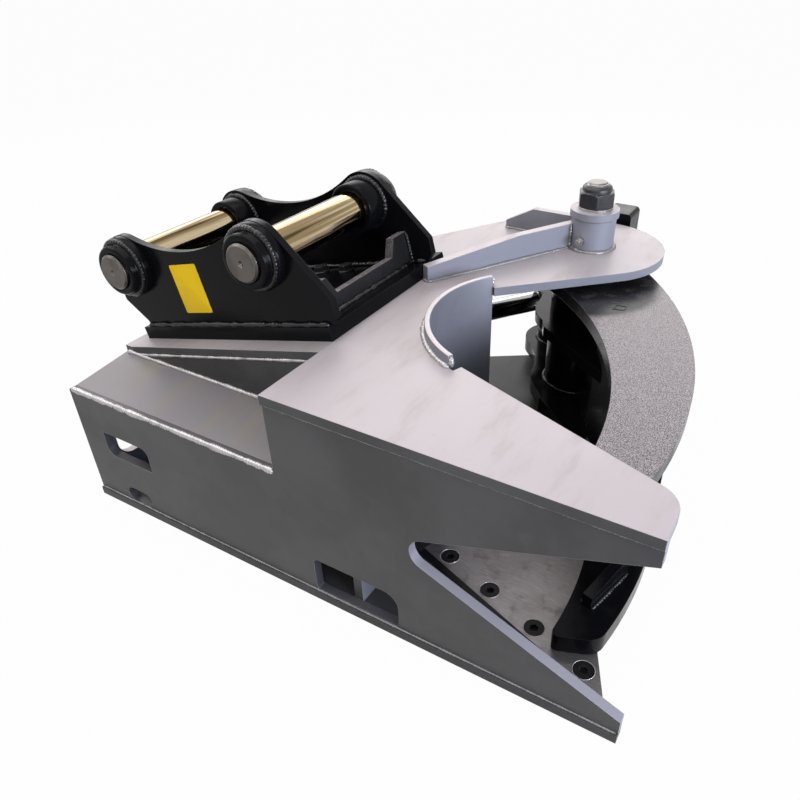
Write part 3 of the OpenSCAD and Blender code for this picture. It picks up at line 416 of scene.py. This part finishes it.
def slotNodes(slot):
    return [part["node"] for part in frame["record"]["subparts"] if part["material_slot"] == slot]


gloss = makeBlackPaint("glossBlackPaint", glossBlack)
thick = makeBlackPaint("thickBlackPaint", thickBlack)
seam = makeBlackPaint("blackWeldPaint", weldBlack)
light = makeGreyPaint("rightLitPaint", rightLitPaint)
turned = makeMetal("turnedSteel", turnedSteel, scale=(1, 1, 0.05))
dark = makeMetal("darkSteel", darkSteel)
weldBright = makeMetal("brightWeld", weldSteel)
weldGrey = makeMetal("paintedWeld", weldPainted)
film = makeFilm("yellowFilm", filmPatch)
slotFinishes = {
    "body_paint": makeGreyPaint("greyPaint", greyPaint),
    "black_paint": gloss,
    "bare_steel": turned,
    "ground_steel": makeMetal("groundSteel", groundSteel, (0, 0, 0.35), (0.05, 1, 1)),
    "dark_steel": dark,
    "yellow_zinc": makePinFinish("pinFinish", pinFinish),
    "hard_chrome": makeMetal("hardChrome", chrome),
    "bronze": makeMetal("turnedBronze", bronze),
    "cylinder_paint": makeMetal("cylinderPaint", cylinderPaint),
}
# Nodes whose finish differs from the rest of their slot
nodeFinishes = {
    "jaw_upper_plate": thick,
    "cross_plate": thick,
    "bottom_plate": makeGreyPaint("shadedPaint", shadedPaint),
    "side_wall": makeGreyPaint("wallLightAndShadePaint", wallLightAndShadePaint),
    "shoulder_plate": makeGreyPaint("deckPaint", deckPaint),
    "pivot_boss": light,
    "pivot_collar": light,
    "near_rib": light,
    "far_rib": light,
    "pivot_pin": makeMetal("pinSteel", pinSteel, scale=(1, 1, 0.05)),
    "blade_bolts": makeMetal("blackOxide", blackOxide),
}
for slot, finish in slotFinishes.items():
    paint(slotNodes(slot), finish)
for name, finish in nodeFinishes.items():
    paint([name], finish)
print("finishes made")


# A new piece from points and faces, riding on a body and smooth up to a crease angle
def makePiece(name, points, faces, material, body, crease):
    mesh = bpy.data.meshes.new(name)
    mesh.from_pydata(points, [], faces)
    mesh.validate()
    work = bmesh.new()
    work.from_mesh(mesh)
    bmesh.ops.recalc_face_normals(work, faces=work.faces)
    work.to_mesh(mesh)
    work.free()
    mesh.polygons.foreach_set("use_smooth", [True] * len(mesh.polygons))
    mesh.set_sharp_from_angle(angle=math.radians(crease))
    piece = bpy.data.objects.new(name, mesh)
    bpy.context.scene.collection.objects.link(piece)
    mesh.materials.append(material)
    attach(piece, body)
    return piece


def onSlope(u, y, w):
    a = shear["slope"]
    return Vector((u * math.cos(a) - w * math.sin(a), y, shear["top"] + u * math.sin(a) + w * math.cos(a)))


def line(a, b):
    return [Vector(a), Vector(b)]


def arc(middle, radius, start, end, height, step=3):
    turns = max(2, int(abs(end - start) / step))
    angles = [math.radians(start + (end - start) * i / turns) for i in range(turns + 1)]
    return [Vector((middle[0] + radius * math.cos(a), middle[1] + radius * math.sin(a), height))
            for a in angles]


def slopeRing(u, y, radius, step=6):
    return [onSlope(u + radius * math.cos(math.radians(a)), y,
                    shear["pinHeight"] + radius * math.sin(math.radians(a))) for a in range(0, 360, step)]


# The faces between rows of n points each, where every row is a ring
def bands(rows, n, closed=False):
    return [(i * n + s, i * n + (s + 1) % n, (i + 1) % rows * n + (s + 1) % n, (i + 1) % rows * n + s)
            for i in range(rows if closed else rows - 1) for s in range(n)]


# A lathe whose radius may change with the turn, from (radius, height) pairs
def lathe(profile, middle, sides, shape=lambda radius, angle: radius):
    points = []
    for radius, height in profile:
        for s in range(sides):
            a = 2 * math.pi * s / sides
            r = shape(radius, a)
            points.append((middle[0] + r * math.cos(a), middle[1] + r * math.sin(a), height))
    return points, bands(len(profile), sides, closed=True)


# Points every step metres along a path, with the way walked to each
def walk(path, step, closed):
    stops = path + [path[0]] if closed else path
    points = []
    travelled = 0.0
    for a, b in zip(stops, stops[1:]):
        length = (b - a).length
        count = max(1, round(length / step))
        for i in range(count):
            points.append((a.lerp(b, i / count), travelled + length * i / count))
        travelled += length
    if not closed:
        points.append((stops[-1], travelled))
    return points


# Weld bead: a swept round with overlapping scales and a slightly wandering line
weldBead = {"sides": 8, "step": 0.0020, "scale": 0.0075, "scaleDepth": 0.30, "wander": 0.24,
            "wanderSteps": 6, "spareTurns": 4, "tip": 0.35, "tipSteps": 4, "crease": 70}


def addBead(name, path, radius, body, material, closed=False, lump=1.0):
    look = weldBead
    points = walk(path, look["step"], closed)
    count = len(points)
    every = look["wanderSteps"]
    drift = [random.uniform(-1, 1) for _ in range(count // every + look["spareTurns"])]
    rings = []
    for i, (middle, along) in enumerate(points):
        after = points[(i + 1) % count][0] if closed or i + 1 < count else middle
        before = points[i - 1][0] if closed or i else middle
        ahead = (after - before).normalized()
        side = ahead.orthogonal() if not rings else (side - ahead * side.dot(ahead)).normalized()
        side.normalize()
        over = ahead.cross(side)
        turn, part = divmod(i / every, 1)
        low, high = drift[int(turn)], drift[int(turn) + 1]
        if closed and i > count - 2 * every:
            high = low = drift[0]
        wander = low + (high - low) * part
        share = (along / look["scale"]) % 1
        width = radius * (1 - look["scaleDepth"] * lump * share * share + look["wander"] * lump * wander)
        if not closed:
            width *= min(1, look["tip"] + min(i, count - 1 - i) / look["tipSteps"])
        ring = []
        for s in range(look["sides"]):
            a = 2 * math.pi * s / look["sides"]
            ring.append(middle + (side * math.cos(a) + over * math.sin(a)) * width)
        rings.append(ring)
    n = look["sides"]
    faces = bands(count, n, closed)
    if not closed:
        faces += [tuple(range(n)), tuple(range((count - 1) * n, count * n))]
    verts = [point for ring in rings for point in ring]
    return makePiece(name, verts, faces, material, body, look["crease"])


# A closed bead's last point stays short of its first
ringTurn = (0, 357)
# Welds on the grey body: each bead's radius
bodyWelds = {
    "shoulder": 0.0066, "riser": 0.0064, "mount": 0.0034, "topEdge": 0.0034, "bottom": 0.0026,
    "stepCorner": 0.0026, "stepFoot": 0.0044, "throatWall": 0.0068, "throatEnd": 0.0055,
    "boss": 0.0060, "collar": 0.0024, "ribSide": 0.0046, "ribNose": 0.0044,
}
# Where the throat's welds run, in degrees round its middle
throatWelds = {"from": 141, "to": 247, "ends": {"throatWeldEndFar": 142.4, "throatWeldEndNear": 246.9}}
# The tongue's ribs: foot, turn in degrees, the offsets of both faces, and length
ribs = {
    "near": {"foot": (0.018, 0.127), "turn": 60.4, "right": 0.0, "left": 0.020, "long": 0.402},
    "far": {"foot": (0.019, 0.540), "turn": 0.0, "right": -0.010, "left": 0.010, "long": 0.188},
}


# Straight seams of the body: start, end and metal, each seated a little in its corner
def bodySeams():
    side, start, riser = shear["sideFace"], shear["rear"] + 0.003, shear["riser"]
    shoulder, riserFoot, under = shear["shoulder"], shear["riserFoot"], shear["topUnder"]
    skin, stepSide, heel, end = side - 0.0004, -0.3952, -0.574, -0.002

    def underMount(x):
        return shear["top"] + x * math.tan(shear["slope"]) - shear["plate"] / math.cos(shear["slope"])

    return {
        "shoulder": ((start, side + 0.004, shoulder - 0.0005),
                     (-0.001, side + 0.004, shoulder - 0.0005), weldBright),
        "riser": ((start, riser - 0.001, riserFoot + 0.001),
                  (end, riser - 0.001, riserFoot + 0.001), weldBright),
        "mount": ((heel, riser - 0.0006, underMount(heel)),
                  (end, riser - 0.0006, underMount(end)), weldBright),
        "topEdge": ((0.003, skin, under - 0.0008), (shear["reach"], skin, under - 0.0008), weldGrey),
        "bottom": ((shear["rear"] + 0.002, skin, shear["bottomTop"] + 0.0008),
                   (shear["reach"] - 0.004, skin, shear["bottomTop"] + 0.0008), weldGrey),
        "stepCorner": ((-0.0005, stepSide, shoulder + 0.004), (-0.0005, stepSide, under - 0.002), weldGrey),
        "stepFoot": ((-0.0015, stepSide + 0.0012, shoulder + 0.001),
                     (-0.0015, riser - 0.004, riserFoot + 0.001), weldBright),
    }


def weldBody(size):
    for name, (a, b, metal) in bodySeams().items():
        addBead(name + "Weld", line(a, b), size[name], "frame", metal)
    top, inset = shear["top"], 0.0015
    radius = shear["throatOuter"] + inset
    path = arc(shear["throat"], radius, throatWelds["from"], throatWelds["to"], top + 0.001)
    addBead("throatWallWeld", path, size["throatWall"], "frame", weldBright, lump=1.1)
    for name, angle in throatWelds["ends"].items():
        foot = arc(shear["throat"], shear["throatOuter"] - 0.006, angle, angle, top - 0.001)[0]
        rise = Vector((0, 0, shear["rim"] - top - 0.002))
        addBead(name, line(foot, foot + rise), size["throatEnd"], "frame", weldBright)
    path = arc(shear["pivot"], shear["bossRadius"] + inset, *ringTurn, top + 0.0012)
    addBead("bossWeld", path, size["boss"], "frame", weldGrey, closed=True)
    hang = 0.0008
    path = arc(shear["pivot"], shear["bossRadius"] + hang, *ringTurn, shear["bossTop"] - hang)
    addBead("collarWeld", path, size["collar"], "frame", weldGrey, closed=True)
    for name, rib in ribs.items():
        a = math.radians(rib["turn"])
        ahead = Vector((math.cos(a), math.sin(a), 0))
        aside = Vector((-math.sin(a), math.cos(a), 0))
        foot = Vector((*rib["foot"], top + 0.001))
        rise = Vector((0, 0, shear["ribHigh"] - 0.002))
        for edge, off in (("Right", rib["right"] - inset), ("Left", rib["left"] + inset)):
            near = foot + aside * off
            far = near + ahead * rib["long"]
            addBead(name + "Rib" + edge + "Weld", line(near, far),
                    size["ribSide"], "frame", weldGrey)
            addBead(name + "Rib" + edge + "EndWeld", line(far, far + rise),
                    size["ribSide"], "frame", weldGrey)
        nose = [foot + aside * off - ahead * 0.001 for off in (rib["right"] - 0.001, rib["left"] + 0.001)]
        addBead(name + "RibNoseWeld", nose, size["ribNose"], "frame", weldGrey)
    print("body welds laid")


# Throat liner: a curved plate with a rounded rim, lighter at the top where more light reaches it
liner = {
    "inner": 0.2260, "outer": 0.2378, "from": 143.0, "to": 246.5, "low": 0.105, "round": 0.0022,
    "turns": 54, "roundSteps": 3, "high": (0.20, 0.205, 0.24), "deep": (0.032, 0.033, 0.038),
    "fadeLow": 0.16, "fadeHigh": 0.44, "cloudSize": 0.09, "grainDepth": 0.00008, "metal": 0.2, "rough": 0.38,
    "crease": 30,
}


def makeLinerPaint(name, look):
    board = Board(name)
    height = board.axis("Z").between(look["fadeLow"], look["fadeHigh"])
    cloud = board.clouds(look["cloudSize"], 4, 0.6)
    rounded, edge = board.edges(greyPaint["edgeRadius"], greyPaint["edgeGain"])
    base = board.blend(height, look["deep"], look["high"])
    base = board.blend(cloud.between(0.45, 0.7) * 0.2, base, greyPaint["pale"])
    # Flat faces take the grey paint's painted top light
    base = board.blend(board.facing("Z").between(0.5, 0.9), base, greyPaint["top"])
    # Lighter edges: a painted highlight
    base = board.blend(edge * 0.6, base, greyPaint["edge"])
    normal = board.relief(board.clouds(greyPaint["grain"], 2), look["grainDepth"], rounded)
    rough = look["rough"] + (cloud - 0.5) * 0.12
    return board.finish(color=base, rough=rough, metal=look["metal"], normal=normal)


def addLiner(look):
    inner, outer, bend = look["inner"], look["outer"], look["round"]
    low, high = look["low"], shear["rim"] - bend
    profile = [(inner, low), (outer, low)]
    for middle, first in ((outer - bend, 0), (inner + bend, 90)):
        for i in range(look["roundSteps"] + 1):
            a = math.radians(first + 90 * i / look["roundSteps"])
            profile.append((middle + bend * math.cos(a), high + bend * math.sin(a)))
    turns, n = look["turns"], len(profile)
    x, y = shear["throat"]
    points = []
    for i in range(turns + 1):
        a = math.radians(look["from"] + (look["to"] - look["from"]) * i / turns)
        points += [(x + r * math.cos(a), y + r * math.sin(a), z) for r, z in profile]
    faces = bands(turns + 1, n) + [tuple(range(n)), tuple(range(turns * n, (turns + 1) * n))]
    linerPaint = makeLinerPaint("linerPaint", look)
    piece = makePiece("throatLiner", points, faces, linerPaint, "frame", look["crease"])
    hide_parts("throat_wall")
    print("throat liner bent")


# Pin collars: stepped bosses outside the ears, plain rings inside. An edge is a row of steps,
# each so far out from a radius and along from a face
collars = {
    "bore": 0.0403, "shoulder": 0.0690, "step": 0.0560, "outEnd": 0.231, "inRing": 0.0560,
    "inNear": 0.162, "inFar": 0.118, "sunk": 0.001, "sides": 72, "crease": 50,
    "shoulderEdge": ((0, 0.012), (-0.002, 0.0165), (-0.007, 0.0205)),
    "stepFoot": ((0.002, 0.0235), (0, 0.027)),
    "stepEdge": ((0, -0.004), (-0.002, -0.0012), (-0.005, 0)),
    "boreEdge": ((0.002, 0), (0, -0.0015)),
    "ringEdge": ((0, 0.003), (-0.0012, 0.0008), (-0.003, 0)),
}


def turnedEdge(radius, height, steps, way=1):
    return [(radius + out, height + way * along) for out, along in steps]


def addCollars(look):
    face, sunk = shear["earFace"], look["sunk"]
    bore, wide, step, ring, end = (look[k] for k in ("bore", "shoulder", "step", "inRing", "outEnd"))
    outside = [(bore, face - sunk), (wide, face - sunk), *turnedEdge(wide, face, look["shoulderEdge"]),
               *turnedEdge(step, face, look["stepFoot"]), *turnedEdge(step, end, look["stepEdge"]),
               *turnedEdge(bore, end, look["boreEdge"])]
    back = face - shear["earThick"] + sunk
    points, faces = [], []
    for pin in ("frontPin", "rearPin"):
        for sign, inner in ((-1, look["inNear"]), (1, look["inFar"])):
            inside = [(bore, back), (ring, back), *turnedEdge(ring, inner, look["ringEdge"]),
                      *turnedEdge(bore, inner, look["boreEdge"], -1)]
            for profile in (outside, inside):
                spun, around = lathe(profile, (0, 0), look["sides"])
                start = len(points)
                points += [onSlope(shear[pin] + x, sign * out, shear["pinHeight"] + z)
                           for x, z, out in spun]
                faces += [tuple(start + corner for corner in corners) for corners in around]
    piece = makePiece("pinCollars", points, faces, gloss, "frame", look["crease"])
    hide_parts("pin_collars")
    print("pin collars turned")


# Thick black welds on the hitch: radii, and where they lie along and above its slope
hitchWelds = {
    "ear": 0.0076, "ring": 0.0068, "innerRing": 0.0080, "cross": 0.0066, "crossEnd": 0.0058,
    "heel": -0.574, "toe": -0.006, "ringFrom": 0.018, "ringInset": 0.008, "crossHigh": 0.101,
    "crossFaces": {"Front": -0.0435, "Back": -0.0665},
}


def weldHitch(size):
    foot = shear["flange"]
    out, inside = shear["earFace"], shear["earFace"] - shear["earThick"]
    for name, sign in (("near", -1), ("far", 1)):
        for where, y in (("Out", out + 0.002), ("In", inside - 0.002)):
            path = [onSlope(u, sign * y, foot + 0.002) for u in (size["heel"], size["toe"])]
            addBead(name + "Ear" + where + "Weld", path, size["ear"], "frame", seam, lump=1.3)
        for pin in ("frontPin", "rearPin"):
            title = name + pin[0].upper() + pin[1:]
            radius = collars["shoulder"] - size["ringInset"]
            ring = slopeRing(shear[pin], sign * (out + size["ringFrom"]), radius)
            addBead(title + "RingWeld", ring, size["ring"], "frame", seam,
                    closed=True, lump=0.9)
            ring = slopeRing(shear[pin], sign * (inside - 0.001), shear["ringRadius"] - 0.001)
            addBead(title + "InnerWeld", ring, size["innerRing"], "frame", seam,
                    closed=True, lump=0.9)
    half = inside - 0.004
    for name, u in size["crossFaces"].items():
        path = [onSlope(u, y, foot + 0.0015) for y in (-half, half)]
        addBead("crossPlate" + name + "Weld", path, size["cross"], "frame", seam, lump=1.2)
        for end, y in (("Near", -half - 0.002), ("Far", half + 0.002)):
            path = [onSlope(u, y, w) for w in (foot + 0.002, size["crossHigh"])]
            addBead("crossPlate" + name + "End" + end, path, size["crossEnd"], "frame", seam,
                    lump=1.2)
    print("hitch welds laid")


# Black welds on the jaw, and the scar that a lifting lug left on its upper plate
jawWelds = {
    "hubTube": 0.0062, "wall": 0.0058, "rib": 0.0052, "pinBoss": 0.0055, "scar": 0.0016,
    "wallTurns": (12.8, 40), "ribReach": 0.821, "ribAt": 2.6, "ribTurn": 76, "ribThick": 0.021,
    "ribLong": 0.125, "pinBossRadius": 0.0592, "scarMiddle": (0.415, 0.294), "scarHalf": 0.012,
    "scarHeight": 0.4402, "scarCorners": ((-1, -1), (1, -0.7), (0.9, 1), (-0.8, 0.8)),
}


def weldJaw(size):
    floor, ceiling, inset = shear["jawFloor"], shear["jawCeiling"], 0.0015
    outer = shear["wallRadius"] + inset
    inner = shear["wallRadius"] - shear["wallThick"] - inset
    for name, height in (("Foot", floor + inset), ("Top", ceiling - inset)):
        path = arc(shear["pivot"], shear["tubeRadius"] + inset, *ringTurn, height)
        addBead("hubTube" + name + "Weld", path, size["hubTube"], "jaw", seam, closed=True)
        for edge, radius in (("Inner", inner), ("Outer", outer)):
            path = arc(shear["innerArc"], radius, *size["wallTurns"], height, 1)
            addBead("jawWall" + edge + name + "Weld", path, size["wall"], "jaw", seam)
    start = arc(shear["innerArc"], size["ribReach"], size["ribAt"], size["ribAt"], floor + 0.001)[0]
    a = math.radians(size["ribTurn"])
    ahead = Vector((math.cos(a), math.sin(a), 0))
    aside = Vector((math.sin(a), -math.cos(a), 0))
    for name, off in (("Near", -inset), ("Far", size["ribThick"] + inset)):
        foot = start + aside * off
        addBead("jawRib" + name + "Weld", line(foot, foot + ahead * size["ribLong"]),
                size["rib"], "jaw", seam, lump=1.4)
    path = arc(shear["lever"], size["pinBossRadius"], *ringTurn, floor + 0.0012)
    addBead("pinBossWeld", path, size["pinBoss"], "jaw", seam, closed=True)
    x, y = size["scarMiddle"]
    half = size["scarHalf"]
    corners = [Vector((x + dx * half, y + dy * half, size["scarHeight"])) for dx, dy in size["scarCorners"]]
    addBead("lugScar", corners, size["scar"], "jaw", seam, closed=True, lump=1.5)
    print("jaw welds laid")


# Lock nut: a hexagon with turned chamfers and a round collar over its insert. The edges are
# steps from the chamfer's rim, the corners, the collar and the bore
lockNut = {
    "flats": 0.080, "low": 0.581, "hex": 0.037, "rimOut": 0.001, "collar": 0.0355, "collarHigh": 0.014,
    "bore": 0.0241, "turn": -8, "sides": 144, "crease": 24,
    "footRim": ((-0.002, 0), (0.001, 0.0012)),
    "footCorner": ((-0.001, 0.0032), (0, 0.004)),
    "headCorner": ((0, -0.0056), (-0.001, -0.004)),
    "headRim": ((0.001, -0.0016), (-0.003, 0)),
    "collarEdge": ((0, 0.0004), (0, 0.0065), (-0.0012, 0.0092), (-0.004, 0.0118), (-0.0065, 0.0134)),
    "boreEdge": ((0.0035, 0), (0.002, -0.0012), (0, -0.002)),
}


def addLockNut(look):
    low, high = look["low"], look["low"] + look["hex"]
    flat, sixth = look["flats"] / 2, math.radians(60)
    corner = flat / math.cos(sixth / 2)
    rim = flat + look["rimOut"]

    def hexagon(radius, angle):
        if radius <= look["collar"] + 0.0005:
            return radius
        local = (angle - math.radians(look["turn"])) % sixth - sixth / 2
        return min(radius, flat / math.cos(local))

    profile = [(look["bore"], low), *turnedEdge(rim, low, look["footRim"]),
               *turnedEdge(corner, low, look["footCorner"]), *turnedEdge(corner, high, look["headCorner"]),
               *turnedEdge(rim, high, look["headRim"]), *turnedEdge(look["collar"], high, look["collarEdge"]),
               *turnedEdge(look["bore"], high + look["collarHigh"], look["boreEdge"])]
    points, faces = lathe(profile, shear["pivot"], look["sides"], hexagon)
    nut = makePiece("lockNut", points, faces, dark, "frame", look["crease"])
    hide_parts("pivot_nut")
    print("lock nut made")


# Threads: a raised ridge that winds round the pin's end and runs out at both ends
pinThread = {"radius": 0.0238, "ridge": 0.0014, "pitch": 0.003, "half": 0.0012, "from": 0.6225,
             "turns": 4.4, "steps": 48, "runOut": 10, "thin": 0.05, "crease": 60}


def addThread(look):
    points = []
    count = int(look["turns"] * look["steps"])
    x, y = shear["pivot"]
    for i in range(count + 1):
        a = 2 * math.pi * i / look["steps"]
        height = look["from"] + look["pitch"] * i / look["steps"]
        fade = min(1, i / look["runOut"], (count - i) / look["runOut"])
        half = look["half"] * max(fade, look["thin"])
        crest = look["radius"] + look["ridge"] * fade
        for radius, lift in ((look["radius"], -half), (crest, 0), (look["radius"], half)):
            points.append((x + radius * math.cos(a), y + radius * math.sin(a), height + lift))
    faces = [(0, 1, 2), (3 * count, 3 * count + 1, 3 * count + 2)] + bands(count + 1, 3)
    makePiece("pinThread", points, faces, turned, "frame", look["crease"])
    print("thread cut")


def addFilm(look):
    wide, high = look["size"]
    r, steps = look["corner"], look["cornerSteps"]
    outline = []
    for cx, cy, start in ((1, 1, 0), (-1, 1, 90), (-1, -1, 180), (1, -1, 270)):
        for i in range(steps + 1):
            a = math.radians(start + 90 * i / steps)
            outline.append((cx * (wide / 2 - r) + r * math.cos(a), cy * (high / 2 - r) + r * math.sin(a)))
    face = -shear["earFace"]
    thick = look["thick"]
    points = []
    for out, inset in ((look["sunk"], 0), (-thick * look["bevelFrom"], 0), (-thick, look["bevel"])):
        scale = 1 - 2 * inset / wide
        points += [onSlope(look["middle"][0] + u * scale, face + out, look["middle"][1] + w * scale)
                   for u, w in outline]
    n = len(outline)
    faces = [tuple(range(n)), tuple(range(2 * n, 3 * n))] + bands(3, n)
    makePiece("reflectiveFilm", points, faces, film, "frame", look["crease"])
    print("film laid")


# The bright edge of each countersink in the fixed blade
countersinks = {"radius": 0.0205, "bead": 0.0008, "height": 0.0500, "first": (0.274, -0.222),
                "pitch": 0.1216, "count": 4, "hook": (0.467, 0.200), "hookRadius": 0.245,
                "hookAngles": (210, 184, 158)}


def addCountersinks(look):
    a = -shear["bladeTurn"]
    x, y = look["first"]
    middles = [(x + i * look["pitch"] * math.cos(a), y + i * look["pitch"] * math.sin(a))
               for i in range(look["count"])]
    x, y = look["hook"]
    for angle in look["hookAngles"]:
        a = math.radians(angle)
        middles.append((x + look["hookRadius"] * math.cos(a), y + look["hookRadius"] * math.sin(a)))
    for i, middle in enumerate(middles):
        addBead("countersinkEdge" + str(i), arc(middle, look["radius"], 0, 350, look["height"], 10),
                look["bead"], "frame", weldBright, closed=True, lump=0.3)
    print("countersink edges laid")


# Soft lamps round the shear
lamps = {
    "overhead": {"place": (-1.9, 3.0, 2.4), "aim": (0.0, 0.0, 0.45), "size": (5.8, 2.2), "power": 115,
                 "color": (1.0, 0.965, 0.95)},
    "left": {"place": (-2.4, -0.7, 2.3), "aim": (-0.2, -0.2, 0.3), "size": (1.8, 1.4), "power": 26,
             "color": (1.0, 0.98, 0.98)},
    "sky": {"place": (-0.5, -0.3, 3.4), "aim": (-0.1, 0.0, 0.4), "size": (3.0, 3.0), "power": 60,
            "color": (1.0, 0.96, 0.96)},
    "front": {"place": (0.7, -2.6, 2.3), "aim": (0, 0, 0.3), "size": (1.5, 0.3), "power": 9,
              "color": (1.0, 1.0, 1.0)},
    "right": {"place": (2.6, -0.6, 0.95), "aim": (0.2, 0.1, 0.35), "size": (2.0, 0.9), "power": 80,
              "color": (0.80, 0.86, 1.0)},
}
studio = {"ambient": (0.30, 0.305, 0.32), "floor": 40, "floorDrop": 0.001, "floorGrey": 0.45, "white": 0.975}


# 1 for the rays that show the white backdrop and floor, 0 for those that light the shear
def seenShare(board):
    rays = [board.add("LightPath", out=kind)
            for kind in ("Is Camera Ray", "Is Glossy Ray", "Is Transmission Ray")]
    return (rays[0] + rays[1] + rays[2]).least(1)


def makeLights():
    board = Board("studio", world=True)
    ambient = board.add("Background", None, {"Color": (*studio["ambient"], 1)})
    backdrop = board.add("Background", None, {"Color": (1, 1, 1, 1)})
    mix = board.add("MixShader", None, {0: seenShare(board), 1: ambient, 2: backdrop})
    board.add("OutputWorld", None, {"Surface": mix})
    bpy.context.scene.world = board.owner
    for name, look in lamps.items():
        lamp = bpy.data.lights.new(name, "AREA")
        lamp.shape = "RECTANGLE"
        lamp.size, lamp.size_y = look["size"]
        lamp.energy = look["power"]
        lamp.color = look["color"]
        holder = bpy.data.objects.new(name, lamp)
        bpy.context.scene.collection.objects.link(holder)
        holder.location = look["place"]
        holder.visible_camera = False
        aim = Vector(look["aim"]) - Vector(look["place"])
        holder.rotation_euler = aim.to_track_quat("-Z", "Y").to_euler()
    print("lights set")


def makeFloor():
    mesh = bpy.data.meshes.new("studioFloor")
    s = studio["floor"]
    mesh.from_pydata([(-s, -s, 0), (s, -s, 0), (s, s, 0), (-s, s, 0)], [], [(0, 1, 2, 3)])
    floor = bpy.data.objects.new("studioFloor", mesh)
    bpy.context.scene.collection.objects.link(floor)
    floor.location.z = -studio["floorDrop"]
    board = Board("paleFloor")
    plain = board.add("BsdfDiffuse", None, {"Color": (*[studio["floorGrey"]] * 3, 1)})
    white = board.add("Emission", None, {"Color": (1, 1, 1, 1), "Strength": 1.0})
    mix = board.add("MixShader", None, {0: seenShare(board) * studio["white"], 1: plain, 2: white})
    board.add("OutputMaterial", None, {"Surface": mix})
    floor.data.materials.append(board.owner)
    print("floor laid")


weldBody(bodyWelds)
addCollars(collars)
addLiner(liner)
weldHitch(hitchWelds)
weldJaw(jawWelds)
addLockNut(lockNut)
addThread(pinThread)
addFilm(filmPatch)
addCountersinks(countersinks)
makeLights()
makeFloor()
